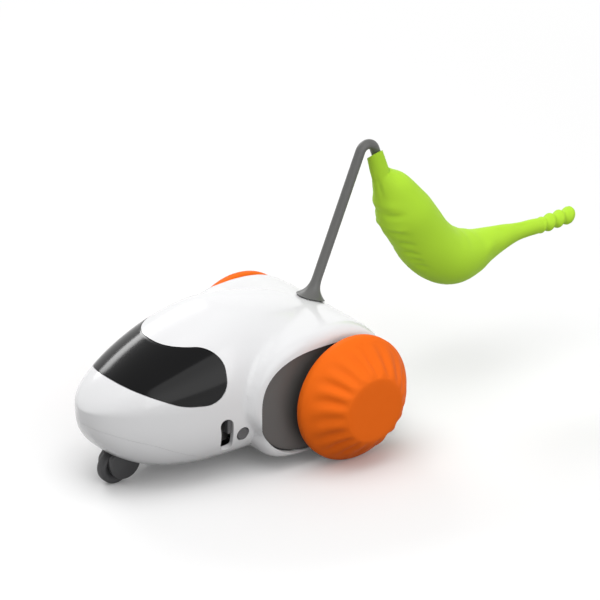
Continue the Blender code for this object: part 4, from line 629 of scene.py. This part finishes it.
def slot_cutter(steps=12):
    """The upright slot: round ends, a foot that leans to the rear, and a lower end that slopes inwards."""
    radius, height = SLOT_WIDTH / 2, SLOT_HIGH_Z - SLOT_LOW_Z
    outline = []
    for turn, end in ((0, SLOT_HIGH_Z - radius), (math.pi, SLOT_LOW_Z + radius)):
        for k in range(steps + 1):
            angle = turn + math.pi * k / steps
            u, z = radius * math.cos(angle), end + radius * math.sin(angle)
            share = (SLOT_HIGH_Z - z) / height
            narrow = 1 - 0.18 * share if u < 0 else 1
            outline.append((ahead(SLOT_AHEAD) + u * narrow + SLOT_SLANT * share, z))
    shape = plate(outline, SLOT_FLOOR_X, SPAN)
    for vertex in shape.verts:
        low = float(smooth_step(SLOT_HIGH_Z - vertex.co.z, height * 0.5, height))
        vertex.co.z -= low * SLOT_SLOPE * (vertex.co.x - SLOT_SKIN_X)
    return new_piece("cutter", shape)


def shell(name, shift, far_z):
    """The walled skin with the panels' openings, cut off at the parting line."""
    depth = PANEL_FACE_X - PANEL_THICKNESS - GAP
    piece = walled_skin(name, SHELL_WALL)
    carve(piece, "DIFFERENCE",
          *[cutter(panel_outline(0), *sorted((sign * depth, sign * SPAN))) for _, sign in SIDES])
    return carve(piece, "DIFFERENCE", parting_region(shift, far_z))


POLE_LEAN = math.radians(23.4)
pole_foot = Vector((0, behind(0.0087), 0.0580))
pole_along = Vector((0, math.sin(POLE_LEAN), math.cos(POLE_LEAN)))

upper = shell("upper_casing", SEAM / 2, -0.004)
carve(upper, "DIFFERENCE", cutter(visor_outline(GAP / 2), -SPAN, SPAN))
carve(upper, "DIFFERENCE", slot_cutter(),
      rod(BUTTON_R + GAP, (0.0232, ahead(BUTTON_AHEAD), BUTTON_Z), (SPAN, ahead(BUTTON_AHEAD), BUTTON_Z), 40),
      rod(SOCKET_R, pole_foot - pole_along * 0.012, pole_foot + pole_along * 0.005, 24))
port = [(x * PORT_HALF + math.cos(a) * PORT_R, PORT_Z + math.sin(a) * PORT_R)
        for x, start in ((1, -0.5), (-1, 0.5)) for a in (math.pi * (start + k / 8) for k in range(9))]
carve(upper, "DIFFERENCE", cutter(port, behind(0.0300), behind(0.0450), axis="Y"))
stands_for(upper, "body", "upper_shell", slot="white_shell")
print("upper casing", len(upper.data.polygons), "faces")

# %% Lower shell
lower = shell("lower_casing", -SEAM / 2, 0.080)
CASTER_AHEAD, WELL_R, WELL_WALL, WELL_ROOF_Z = 0.0925, 0.0126, 0.0014, 0.0178
WELL_FROM_Z, WELL_TOP_Z, BORE_FROM_Z, BORE_TO_Z = 0.0120, 0.0198, 0.0150, 0.0270
BOSS_R, BOSS_TOP_Z, BORE_R = 0.0036, 0.0230, 0.0018


def swivel_rod(radius, low_z, high_z, sides):
    """An upright bar on the axis that the caster turns about."""
    return rod(radius, (0, ahead(CASTER_AHEAD), low_z), (0, ahead(CASTER_AHEAD), high_z), sides)


inside_only = new_piece("limit", skin(-GAP))
well = carve(swivel_rod(WELL_R + WELL_WALL, WELL_FROM_Z, WELL_TOP_Z, 64), "INTERSECT", inside_only)
carve(lower, "UNION", well)
carve(lower, "UNION", swivel_rod(BOSS_R, WELL_ROOF_Z, BOSS_TOP_Z, 32))
carve(lower, "DIFFERENCE", swivel_rod(WELL_R, -0.004, WELL_ROOF_Z, 64),
      swivel_rod(BORE_R, BORE_FROM_Z, BORE_TO_Z, 24))
stands_for(lower, "body", "lower_shell", slot="white_shell")
print("lower casing", len(lower.data.polygons), "faces")

# %% [markdown]
# ## The visor
# The visor is a gloss black window, flush with the skin and wrapped round the nose. It is cut from the very
# same skin as the shell, so that its surface runs on without a step, and a hair's width of gap shows round it.

# %% Visor
VISOR_WALL = 0.0016
visor = walled_skin("gloss_visor", VISOR_WALL)
carve(visor, "INTERSECT", cutter(visor_outline(-GAP / 2), -SPAN, SPAN))
stands_for(visor, "body", "visor", slot="visor")

# %% [markdown]
# ## Side panels
# A satin grey panel closes each side behind the wheel. It is a plate with a softly rounded edge, so it is
# pushed out from its outline, and the edge of its outer face is bevelled. A round hole lets the axle through.

# %% Side panels
PANEL_ROUNDING, AXLE_HOLE_R = 0.0006, 0.0035

for side, sign in SIDES:
    face = sign * PANEL_FACE_X
    shape = plate(panel_outline(GAP), face - sign * PANEL_THICKNESS, face)
    round_off(shape, rim(shape, face), PANEL_ROUNDING)
    panel = new_piece(f"{side}_grey_panel", shape)
    carve(panel, "DIFFERENCE", rod(AXLE_HOLE_R, (sign * 0.028, AXLE_Y, AXLE_Z), (sign * 0.038, AXLE_Y, AXLE_Z)))
    stands_for(panel, "body", f"{side}_side_panel", slot="panel", crisp=30)

# %% [markdown]
# ## The caster
# A small swivel caster carries the nose. Its fork is one dark moulding: a round crown, a stem above it, and
# two cheeks that hold the wheel's pin. The near cheek is a big flat disc that almost hides the wheel. The
# wheel is turned, so it is made by spinning half its section round its own axis.

# %% A turned piece
def spun(profile, steps, closed=False):
    """(radius, distance) points spun round the Z axis, as a bmesh."""
    shape = bmesh.new()
    corners = [shape.verts.new((r, 0, along)) for r, along in profile]
    pairs = list(zip(corners, corners[1:])) + ([(corners[-1], corners[0])] if closed else [])
    edges = [shape.edges.new(pair) for pair in pairs]
    bmesh.ops.spin(shape, geom=corners + edges, cent=(0, 0, 0), axis=(0, 0, 1), angle=math.tau,
                   steps=steps, use_merge=True, use_duplicate=False)
    return shape


def turned(name, profile, start, direction, slot, steps=64, closed=False):
    """A piece spun round an axis that begins at start."""
    shape = spun(profile, steps, closed)
    bmesh.ops.transform(shape, matrix=facing(direction, start), verts=shape.verts)
    return new_piece(name, shape, slot, 40)


# %% Caster fork
ROLLER_TRAIL, ROLLER_R, ROLLER_HALF = 0.0040, 0.0075, 0.0026
CROWN_R, CROWN_LOW_Z, CROWN_HIGH_Z, STEM_R, STEM_TOP_Z = 0.0070, 0.0155, 0.0175, 0.0015, 0.0230
CHEEK_IN_X, CHEEK_OUT_X, CHEEK_ARM = 0.0030, 0.0052, 0.0046
CHEEKS = ((1, 0.0077, 0.0010, 0.0103), (-1, 0.0056, 0.0030, 0.0095))


def cheek(sign, radius, trail, z):
    """A disc whose upper part runs straight into the crown, with a rounded outer edge."""
    centre = ahead(CASTER_AHEAD + trail)
    angles = [math.radians(25 - k * 230 / 48) for k in range(49)]
    outline = [(centre + radius * math.cos(a), z + radius * math.sin(a)) for a in angles]
    outline += [(ahead(CASTER_AHEAD) + arm, CROWN_LOW_Z + 0.0006) for arm in (-CHEEK_ARM, CHEEK_ARM)]
    shape = plate(outline, sign * CHEEK_IN_X, sign * CHEEK_OUT_X)
    round_off(shape, rim(shape, sign * CHEEK_OUT_X), 0.0005)
    return new_piece("cheek", shape)


crown = ((0, CROWN_LOW_Z), (CROWN_R - 0.0004, CROWN_LOW_Z), (CROWN_R, CROWN_LOW_Z + 0.0004),
         (CROWN_R, CROWN_HIGH_Z - 0.0004), (CROWN_R - 0.0004, CROWN_HIGH_Z), (STEM_R + 0.0006, CROWN_HIGH_Z),
         (STEM_R, CROWN_HIGH_Z + 0.0004), (STEM_R, STEM_TOP_Z - 0.0003), (STEM_R - 0.0003, STEM_TOP_Z),
         (0, STEM_TOP_Z))
fork = turned("swivel_fork", crown, (0, ahead(CASTER_AHEAD), 0), (0, 0, 1), "caster")
carve(fork, "UNION", *[cheek(*row) for row in CHEEKS])
stands_for(fork, "caster", "caster_fork", slot="caster", crisp=35)

# %% Caster wheel
pin_low, pin_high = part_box("caster_axle")
PIN_R = (pin_high.z - pin_low.z) / 2 + 0.0001
half_section = ((PIN_R, 0.0020), (0.0022, 0.0020), (0.0024, 0.0023), (0.0050, 0.0023), (0.0054, ROLLER_HALF),
                (0.0064, ROLLER_HALF), (0.0070, 0.0023), (0.0074, 0.0016), (ROLLER_R, 0.0008))
section = list(half_section) + [(r, -x) for r, x in reversed(half_section)]
roller = turned("caster_roller_wheel", section, (0, ahead(CASTER_AHEAD + ROLLER_TRAIL), ROLLER_R), (1, 0, 0),
                "caster_tread", steps=72, closed=True)
stands_for(roller, "caster_roller", "caster_wheel")
print("caster pin", [round(v * 1000, 2) for v in (*pin_low, *pin_high)])

# %% [markdown]
# ## Knob and button
# Behind the slot sits the slide switch's knob: a black block with a grey grooved grip along its rear edge,
# which a fingertip pushes. Beside it is a small round button, turned, with a fine rounded rim and a shallow
# dish for the fingertip.

# %% Slide knob
knob_low, knob_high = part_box("switch_knob")
KNOB_Y = (knob_low.y + knob_high.y) / 2
KNOB_FRONT, KNOB_GRIP, KNOB_REAR = -0.0015, 0.0009, 0.0031
KNOB_BASE_X, KNOB_FACE_X = 0.0272, 0.0304


def knob_block(name, front, rear, face_x, slot, back_x, rounding, inset=0.0):
    """An upright block from front to rear of the slot's middle, with rounded outer edges."""
    shape = bmesh.new()
    bmesh.ops.create_cube(shape, size=1.0)
    size = (face_x - back_x, rear - front, knob_high.z - knob_low.z - inset)
    middle = ((face_x + back_x) / 2, KNOB_Y + (front + rear) / 2, (knob_low.z + knob_high.z) / 2)
    bmesh.ops.scale(shape, vec=size, verts=shape.verts)
    bmesh.ops.translate(shape, vec=middle, verts=shape.verts)
    outer = [e for e in shape.edges if all(v.co.x > face_x - TINY for v in e.verts) or
             abs(e.verts[0].co.x - e.verts[1].co.x) > 0.0001]
    round_off(shape, outer, rounding, 4)
    return new_piece(name, shape, slot, 40)


knob = knob_block("slide_knob", KNOB_FRONT, KNOB_REAR, KNOB_BASE_X, "component", knob_low.x, 0.0005)
stands_for(knob, "switch", "switch_knob")
grip = knob_block("slide_grip", KNOB_GRIP, KNOB_REAR, KNOB_FACE_X, "control", KNOB_BASE_X - 0.0004, 0.0003,
                  inset=0.0004)
GROOVES, GROOVE_PITCH, GROOVE_R, GROOVE_X = 5, 0.0010, 0.00022, KNOB_FACE_X + 0.00008
grooves = []
for k in range(GROOVES):
    z = knob_low.z + 0.0015 + k * GROOVE_PITCH
    grooves.append(rod(GROOVE_R, (GROOVE_X, KNOB_Y - 0.006, z), (GROOVE_X, KNOB_Y + 0.006, z), 12))
carve(grip, "DIFFERENCE", *grooves)
stands_for(grip, "switch", slot="control", crisp=35)

# %% Push button
BUTTON_FACE, BUTTON_FOOT, FLANGE_R = 0.0306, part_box("push_button")[0].x, 0.0036
button_profile = ((0, BUTTON_FACE - 0.00025), (0.0010, BUTTON_FACE - 0.00022), (0.0018, BUTTON_FACE - 0.00008),
                  (0.0022, BUTTON_FACE), (0.0025, BUTTON_FACE - 0.00004), (0.0028, BUTTON_FACE - 0.0003),
                  (BUTTON_R, BUTTON_FACE - 0.0006), (BUTTON_R, BUTTON_FOOT + 0.0008),
                  (FLANGE_R, BUTTON_FOOT + 0.0008), (FLANGE_R, BUTTON_FOOT), (0, BUTTON_FOOT))
button = turned("round_button", button_profile, (0, ahead(BUTTON_AHEAD), BUTTON_Z), (1, 0, 0), "control", 64)
stands_for(button, "button", "push_button")

# %% [markdown]
# ## Wheel covers
# Each wheel wears a soft orange cover: a flat hub, a dome with eighteen soft pleats that swirl
# outwards, and a smooth rolling edge. The profile is spun round the axle into a cap with a wall, and then
# the dome's points are pressed in along the pleats, which fade out at the hub and at the rolling edge.

# %% Wheel covers
WHEEL_R, HUB_X, HUB_R = 0.0285, 0.0583, 0.0146
COVER_WALL = 0.0021
PLEATS, PLEAT_DEPTH, PLEAT_SWIRL = 18, 0.00095, 0.16
DOME = ((0.0146, 0.05805), (0.0165, 0.0571), (0.0189, 0.0550), (0.0212, 0.0524), (0.0240, 0.0493),
        (0.0262, 0.0465), (0.0278, 0.0444), (0.0285, 0.0430))
BACK = ((0.0285, 0.0408), (0.0283, 0.0399), (0.0276, 0.0394))
PLEAT_FROM, DOME_EDGE_X = 0.02, 0.0435


def pleated(co):
    """A point of the cover, pressed in where a pleat's valley runs."""
    r, theta = math.hypot(co.x, co.y), math.atan2(co.y, co.x)
    share = (r - HUB_R) / (WHEEL_R - HUB_R)
    if share <= PLEAT_FROM or co.z < DOME_EDGE_X:
        return co
    fade = math.sin(math.pi * min(max((share - PLEAT_FROM) / 0.86, 0), 1)) ** 0.8
    wave = 0.5 + 0.5 * math.cos(PLEATS * (theta - PLEAT_SWIRL * share * share) + 0.7 * math.sin(3 * theta))
    press = PLEAT_DEPTH * fade * wave ** 1.1 * (1 + 0.2 * math.sin(5 * theta + 1))
    return Vector((co.x * (1 - press * 0.55 / r), co.y * (1 - press * 0.55 / r), co.z - press * 0.85))


def wheel_cover(name, sign):
    outer = [tuple(p) for p in smooth_line(DOME, 4)] + list(BACK)
    inner = [(WHEEL_R - COVER_WALL, 0.0394), (WHEEL_R - COVER_WALL, 0.0436)]
    inner += [(0.0242, 0.0460), (0.0195, 0.0510), (0.0140, 0.0562)]
    hub = [(0, HUB_X), (HUB_R - 0.0030, HUB_X), (HUB_R - 0.0014, HUB_X - 0.00003),
           (HUB_R - 0.0006, HUB_X - 0.00012)]
    shape = spun(hub + outer + inner + [(0, 0.0562)], PLEATS * 14)
    bmesh.ops.remove_doubles(shape, verts=shape.verts, dist=MERGE)
    for vertex in shape.verts:
        r = math.hypot(vertex.co.x, vertex.co.y)
        if vertex.co.z > DOME_EDGE_X and r > cover_middle(vertex.co.z):
            vertex.co = pleated(vertex.co)
    bmesh.ops.transform(shape, matrix=facing((sign, 0, 0), (0, AXLE_Y, AXLE_Z)), verts=shape.verts)
    return new_piece(name, shape, "wheel_cover", 50)


def cover_middle(x):
    """The radius halfway through the cover's wall at a place along the axle."""
    return float(np.interp(x, [p[1] for p in DOME[::-1]], [p[0] for p in DOME[::-1]])) - COVER_WALL / 2


for side, sign in SIDES:
    cover = wheel_cover(f"{side}_silicone_cover", sign)
    stands_for(cover, f"{side}_wheel", f"{side}_wheel_cover")
print("wheel cover", len(cover.data.polygons), "faces")

# %% [markdown]
# ## Tubes along a line
# The pole and the lure are both round forms that follow a line. A ring of edges is extruded again and again,
# and each new ring is carried to its place by a matrix that turns, scales and moves it. Working with matrices
# keeps the ring's points in order, so the surface never twists.

# %% A tube from rings
def ring_place(centre, along, radius):
    """The matrix that puts a unit circle at centre, facing along."""
    along = Vector(along).normalized()
    side = Vector((1, 0, 0))
    rise = along.cross(side)
    place = Matrix((side * radius, rise * radius, along * radius)).transposed().to_4x4()
    place.translation = Vector(centre)
    return place


def tube(places, sides):
    """A closed tube through a list of ring matrices, with flat ends."""
    shape = bmesh.new()
    first = bmesh.ops.create_circle(shape, cap_ends=False, segments=sides, radius=1.0)["verts"]
    loop = list({e for v in first for e in v.link_edges})
    bmesh.ops.transform(shape, matrix=places[0], verts=first)
    rings, first_loop = [first], loop
    for before, after in zip(places, places[1:]):
        grown = bmesh.ops.extrude_edge_only(shape, edges=loop)["geom"]
        ring = [g for g in grown if isinstance(g, bmesh.types.BMVert)]
        loop = [g for g in grown if isinstance(g, bmesh.types.BMEdge) and all(v in ring for v in g.verts)]
        bmesh.ops.transform(shape, matrix=after @ before.inverted(), verts=ring)
        rings.append(ring)
    for end in (first_loop, loop):
        bmesh.ops.contextual_create(shape, geom=end)
    return shape, rings


# %% [markdown]
# ## The pole
# The pole is a flexible rod. Its foot spreads like a trumpet and lies on the roof, a plug under it goes into
# the shell, and a hook at the top holds the lure. The foot's rings have to follow the roof's slope, so each
# of their points is lowered along the pole until it meets the skin formula.

# %% Pole
POLE_R, POLE_LENGTH, HOOK_R, HOOK_TURN = 0.0022, 0.0680, 0.0042, math.radians(136.6)
FOOT_R, FOOT_HEIGHT, FOOT_POWER = 0.0066, 0.0115, 3.8
HOOK_STRAIGHT, HOOK_TIP = 0.0030, 0.0090
PLUG_R, FOOT_STEPS, SHAFT_STEPS, HOOK_STEPS = 0.0023, 18, 14, 20


def toy_point(place):
    """A point in the plane x = 0 from (behind the axle, height)."""
    return Vector((0, behind(place[0]), place[1]))


lean = Vector((math.sin(POLE_LEAN), math.cos(POLE_LEAN)))
hook_centre = Vector((0.0087, 0.0580)) + lean * POLE_LENGTH + Vector((lean.y, -lean.x)) * HOOK_R
tip_angle = POLE_LEAN + HOOK_TURN
tip_along = Vector((math.sin(tip_angle), math.cos(tip_angle)))
hook_end = hook_centre - Vector((tip_along.y, -tip_along.x)) * HOOK_R
lure_mouth = hook_end + tip_along * HOOK_STRAIGHT


def roof_height(point):
    """How far along the pole from a point the roof's skin lies."""
    low, high = -0.02, 0.02
    for _ in range(SEARCH_STEPS):
        middle = (low + high) / 2
        place = point + pole_along * middle
        if body_value(np.array(place.x), np.array(place.y - AXLE_Y), np.array(place.z)) < 1:
            low = middle
        else:
            high = middle
    return low


def make_pole():
    plug = ((0.0080, PLUG_R - 0.0004), (0.0076, PLUG_R), (0.0004, PLUG_R), (0.0001, FOOT_R - 0.0006))
    places = [ring_place(pole_foot - pole_along * depth, pole_along, radius) for depth, radius in plug]
    lifts = [None, None, None, GAP]
    for k in range(FOOT_STEPS + 1):
        share = 1 - k / FOOT_STEPS
        radius = POLE_R + (FOOT_R - POLE_R) * share ** FOOT_POWER
        along = 0.0005 + FOOT_HEIGHT * (1 - share)
        places.append(ring_place(pole_foot + pole_along * along, pole_along, radius))
        lifts.append(GAP + 0.0004 + (FOOT_HEIGHT - 0.0007) * (1 - share))
    start = FOOT_HEIGHT + 0.0005
    for k in range(1, SHAFT_STEPS + 1):
        along = start + (POLE_LENGTH - start) * k / SHAFT_STEPS
        places.append(ring_place(pole_foot + pole_along * along, pole_along, POLE_R))
    for k in range(1, HOOK_STEPS + 1):
        angle = POLE_LEAN + HOOK_TURN * k / HOOK_STEPS
        side = Vector((math.cos(angle), -math.sin(angle)))
        along = Vector((0, math.sin(angle), math.cos(angle)))
        places.append(ring_place(toy_point(hook_centre - side * HOOK_R), along, POLE_R))
    tip = Vector((0, tip_along.x, tip_along.y))
    end = toy_point(lure_mouth + tip_along * HOOK_TIP)
    places.append(ring_place(end - tip * 0.0006, tip, POLE_R))
    places.append(ring_place(end, tip, POLE_R - 0.0006))
    shape, rings = tube(places, 40)
    for ring, lift in zip(rings, lifts):
        if lift is None:
            continue
        follow = 1 - smooth_step(lift, 0.0010, FOOT_HEIGHT)
        for vertex in ring:
            flat = vertex.co - pole_along * (vertex.co - pole_foot).dot(pole_along)
            roof = roof_height(flat) * float(follow) + roof_height(pole_foot) * (1 - float(follow))
            vertex.co = flat + pole_along * (roof + lift)
    return new_piece("grey_pole", shape, "pole", 40)


pole = make_pole()
stands_for(pole, "pole", "pole")

# %% [markdown]
# ## The lure
# The lure is one hollow silicone moulding: a short neck that grips the pole, a full body that hangs like a
# pear, and a thin tail that rises again and ends in three ribs and a small disc. Its rings follow a
# smooth line. The mouth is cut at a slant, higher on the toy's left.

# %% Lure
LURE_RUN, LURE_DROP, LURE_BULB_R, LURE_NECK = 0.1114, 0.0520, 0.01345, 0.0100
neck_end = lure_mouth + tip_along * LURE_NECK
LURE_SHAPE = ((0.036, 0.843, 0.585), (0.072, 0.731, 0.788), (0.111, 0.583, 0.945), (0.166, 0.413, 0.970),
              (0.219, 0.244, 0.996), (0.288, 0.104, 1.000), (0.361, 0.029, 0.970), (0.446, 0.016, 0.810),
              (0.519, 0.034, 0.608), (0.603, 0.056, 0.456), (0.704, 0.064, 0.304), (0.823, 0.054, 0.262))
LURE_SIDE = Vector((tip_along.y, -tip_along.x))
MOUTH_R, NECK_R, TAIL_STEPS = 0.0038, 0.0043, 80


RIB_PITCH, DISC_R, DISC_LENGTH, RIB_TILT = 0.0055, 0.0041, 0.0018, math.radians(18)
RIB_VALLEY_R, RIB_HEIGHT = 0.0030, 0.0012


def rib_radius(distance):
    """The tail's radius at a distance before its end: three ribs, then the disc."""
    if distance < DISC_LENGTH:
        return DISC_R - 0.0007 * float(smooth_step(DISC_LENGTH - distance, 0.0008, DISC_LENGTH))
    wave = 0.5 + 0.5 * math.cos(math.tau * (distance - DISC_LENGTH) / RIB_PITCH)
    return RIB_VALLEY_R + RIB_HEIGHT * float(wave) ** 1.3


def lure_points():
    """(behind the axle, height, radius) along the whole lure, mouth first, and where the ribs begin."""
    mouth, neck = lure_mouth + LURE_SIDE * 0.0008, neck_end + LURE_SIDE * 0.0012
    first, second = np.array((mouth.x, mouth.y, MOUTH_R)), np.array((neck.x, neck.y, NECK_R))
    low = neck_end.y - LURE_DROP
    body = [(neck_end.x + LURE_RUN * u, low + LURE_DROP * v, LURE_BULB_R * r) for u, v, r in LURE_SHAPE]
    start = body[-1]
    end_y, end_z = neck_end.x + LURE_RUN - 0.0013, low + LURE_DROP * 0.070
    tail = []
    for k in range(1, TAIL_STEPS + 1):
        share = k / TAIL_STEPS
        y, z = start[0] + (end_y - start[0]) * share, start[1] + (end_z - start[1]) * share
        into = float(smooth_step(y, start[0], start[0] + 0.0012))
        tail.append(np.array((y, z, start[2] * (1 - into) + rib_radius(end_y - y) * into)))
    points = [first + (second - first) * k / 8 for k in range(8)] + smooth_line([second] + body, 14) + tail
    return points, end_y - DISC_LENGTH - 3.5 * RIB_PITCH


# %% [markdown]
# A thin moulding is never quite even: it has shallow dents, small swellings and a soft crease. Each is a
# bell-shaped push on the surface, given by its place (behind and below the neck's end), its length and
# height, its turn, and how far it stands out.

# %% Dents and swellings
DENTS = (
    (0.0098, 0.0036, 0.0070, 0.0046, 35, 0.0012), (-0.0002, 0.0150, 0.0030, 0.0026, 0, 0.0008),
    (0.0006, 0.0200, 0.0040, 0.0014, 15, -0.0008), (0.0033, 0.0262, 0.0024, 0.0010, 0, 0.0006),
    (0.0046, 0.0290, 0.0036, 0.0013, -10, -0.0006), (0.0081, 0.0345, 0.0026, 0.0010, -10, -0.0011),
    (0.0111, 0.0398, 0.0026, 0.0010, -10, -0.0011), (0.0137, 0.0436, 0.0024, 0.0009, -15, -0.0010),
    (0.0166, 0.0471, 0.0024, 0.0010, -20, -0.0010), (-0.0034, 0.0070, 0.0050, 0.0008, -78, -0.0006),
    (0.0564, 0.0475, 0.0045, 0.0026, 20, 0.0006), (0.0660, 0.0440, 0.0030, 0.0040, 0, -0.0004),
    (0.0793, 0.0440, 0.0035, 0.0040, 0, -0.0005), (0.0880, 0.0430, 0.0030, 0.0040, 0, 0.0003),
)


def stands_out(place, sideways):
    """How far the surface is pushed out at a place (behind, below). Hollows stay off the outline."""
    total = 0.0
    flank = float(smooth_step(sideways, 0.15, 0.55))
    for behind_neck, below_neck, long, tall, turn, height in DENTS:
        u, v = place[0] - behind_neck, place[1] - below_neck
        c, s = math.cos(math.radians(turn)), math.sin(math.radians(turn))
        bell = math.exp(-((u * c - v * s) / long) ** 2 - ((u * s + v * c) / tall) ** 2)
        total += height * bell * (flank if height < 0 else 1)
    return total


# %% The whole lure
MOUTH_FACE = Vector((-0.586, -0.151, 0.797))
MOUTH_FADE, LURE_SIDES = 0.0070, 96


def make_lure():
    points, ribs_from = lure_points()
    tip = Vector((0, tip_along.x, tip_along.y))
    mouth = toy_point(lure_mouth)
    places = [ring_place(mouth + tip * 0.0140, tip, 0.0024), ring_place(mouth + tip * 0.0006, tip, 0.0025),
              ring_place(mouth, tip, 0.0027)]
    ribbed = Vector((0, math.cos(RIB_TILT), -math.sin(RIB_TILT)))
    for i, (y, z, radius) in enumerate(points):
        before, after = points[max(i - 1, 0)], points[min(i + 1, len(points) - 1)]
        along = Vector((0, after[0] - before[0], after[1] - before[1])).normalized()
        if i < 7:
            along = tip
        tilted = float(smooth_step(y, ribs_from - 0.012, ribs_from))
        places.append(ring_place(toy_point((y, z)), along.lerp(ribbed, tilted), radius))
    shape, rings = tube(places, LURE_SIDES)
    for ring, (y, z, radius) in zip(rings[3:], points):
        centre = toy_point((y, z))
        for vertex in ring:
            place = (vertex.co.y - AXLE_Y - neck_end.x, neck_end.y - vertex.co.z)
            vertex.co += (vertex.co - centre).normalized() * stands_out(place, abs(vertex.co.x) / radius)
    for ring in rings[1:12]:
        for vertex in ring:
            depth = (vertex.co - mouth).dot(tip)
            slant = -(vertex.co - mouth - tip * depth).dot(MOUTH_FACE) / tip.dot(MOUTH_FACE)
            vertex.co += tip * slant * (1 - float(smooth_step(depth, 0.0, MOUTH_FADE)))
    return new_piece("green_lure", shape, "lure", 60)


lure = make_lure()
stands_for(lure, "lure", "lure")
print("lure", len(lure.data.polygons), "faces")

# %% [markdown]
# ## Stage
# The toy stands on a plain pale floor under plain white air. Near the toy the floor is lit, so that it takes
# the toy's shade, and further out it glows until it is as white as the air. Light that bounces off either is
# dimmer, as in a studio whose white ground is small. The air overhead is darker in reflections, like a
# studio's ceiling, so that the visor stays black.

# %% Floor and air
def seen_rays(tree):
    """Wires that are 1 for the camera's rays, for mirrored ones and for see-through ones."""
    path = tree.nodes.new("ShaderNodeLightPath")
    return [Wire(tree, path.outputs[f"Is {kind} Ray"]) for kind in ("Camera", "Glossy", "Transmission")]


FLOOR_GLOW, GLOW_NEAR, GLOW_FAR = 0.03, 0.12, 0.60
FLOOR_BOUNCE, FLOOR_SEEN = (0.22, 0.22, 0.22, 1), (0.93, 0.93, 0.93, 1)
floor_shape = bmesh.new()
bmesh.ops.create_grid(floor_shape, x_segments=2, y_segments=2, size=6.0)
floor = new_piece("floor", floor_shape)
floor_finish = Finish("pale_floor", Roughness=0.8, Specular_IOR_Level=0.1)
camera_ray, glossy_ray, through_ray = seen_rays(floor_finish.tree)
seen = camera_ray + glossy_ray + through_ray
floor_finish.feed(Base_Color=floor_finish.mix(seen, FLOOR_BOUNCE, FLOOR_SEEN))
distance = floor_finish.node("VectorMath", {"operation": "LENGTH"}, out=1, _0=floor_finish.place())
far = floor_finish.node("MapRange", {"interpolation_type": "SMOOTHSTEP"}, Value=distance, From_Min=GLOW_NEAR,
                        From_Max=GLOW_FAR, To_Min=FLOOR_GLOW, To_Max=1.0)
glow = floor_finish.node("Emission", Color=(1, 1, 1, 1), Strength=1.0)
mixed = floor_finish.node("MixShader", _0=seen * far, _2=glow,
                          _1=Wire(floor_finish.tree, floor_finish.shader.outputs[0]))
floor_finish.tree.links.new(mixed.socket, floor_finish.tree.nodes["Material Output"].inputs["Surface"])
floor.data.materials.append(floor_finish.material)

AIR_LIGHT, CEILING_SHADE, CEILING_FROM, CEILING_FULL = 0.52, 0.47, 0.25, 0.70
world = bpy.data.worlds.new("studio")
bpy.context.scene.world = world
world.use_nodes = True
air = world.node_tree
camera_ray, glossy_ray, through_ray = seen_rays(air)
height = add_node(air, "SeparateXYZ", out=2, _0=add_node(air, "TexCoord"))
ceiling = add_node(air, "MapRange", {"interpolation_type": "SMOOTHSTEP"}, Value=height,
                   From_Min=CEILING_FROM, From_Max=CEILING_FULL) * CEILING_SHADE
strength = AIR_LIGHT + (camera_ray + through_ray) * (1 - AIR_LIGHT) + glossy_ray * (1 - AIR_LIGHT - ceiling)
background = air.nodes["Background"]
background.inputs["Color"].default_value = (1, 1, 1, 1)
air.links.new(strength.socket, background.inputs["Strength"])

# %% [markdown]
# Three soft lamps light the toy. The wide one overhead gives most of the light and isn't mirrored. A large
# box at the toy's left side makes the broad grey shine in the visor, and a narrow strip at its right side
# makes the bright streak.

# %% Lamps
def soft_lamp(name, azimuth, elevation, distance, wide, tall, radiance, mirrored=True):
    """A rectangular lamp that faces the toy. Its radiance is its brightness when looked at."""
    light = bpy.data.lights.new(name, "AREA")
    light.shape = "RECTANGLE"
    light.size, light.size_y = wide, tall
    light.energy = radiance * math.pi * wide * tall
    a, e = math.radians(azimuth), math.radians(elevation)
    outwards = Vector((math.cos(a) * math.cos(e), math.sin(a) * math.cos(e), math.sin(e)))
    place = Vector((0, 0, 0.04)) + outwards * distance
    lamp = bpy.data.objects.new(name, light)
    lamp.matrix_world = facing(outwards, place)
    lamp.visible_glossy = mirrored
    bpy.context.scene.collection.objects.link(lamp)


soft_lamp("overhead", -60, 78, 1.1, 1.0, 1.0, 2.0, mirrored=False)
soft_lamp("side_box", -3, 27, 1.2, 1.1, 1.2, 1.1)
soft_lamp("strip", 176, 32, 1.2, 0.7, 0.20, 8.5)

bpy.context.scene.view_settings.view_transform = "Standard"
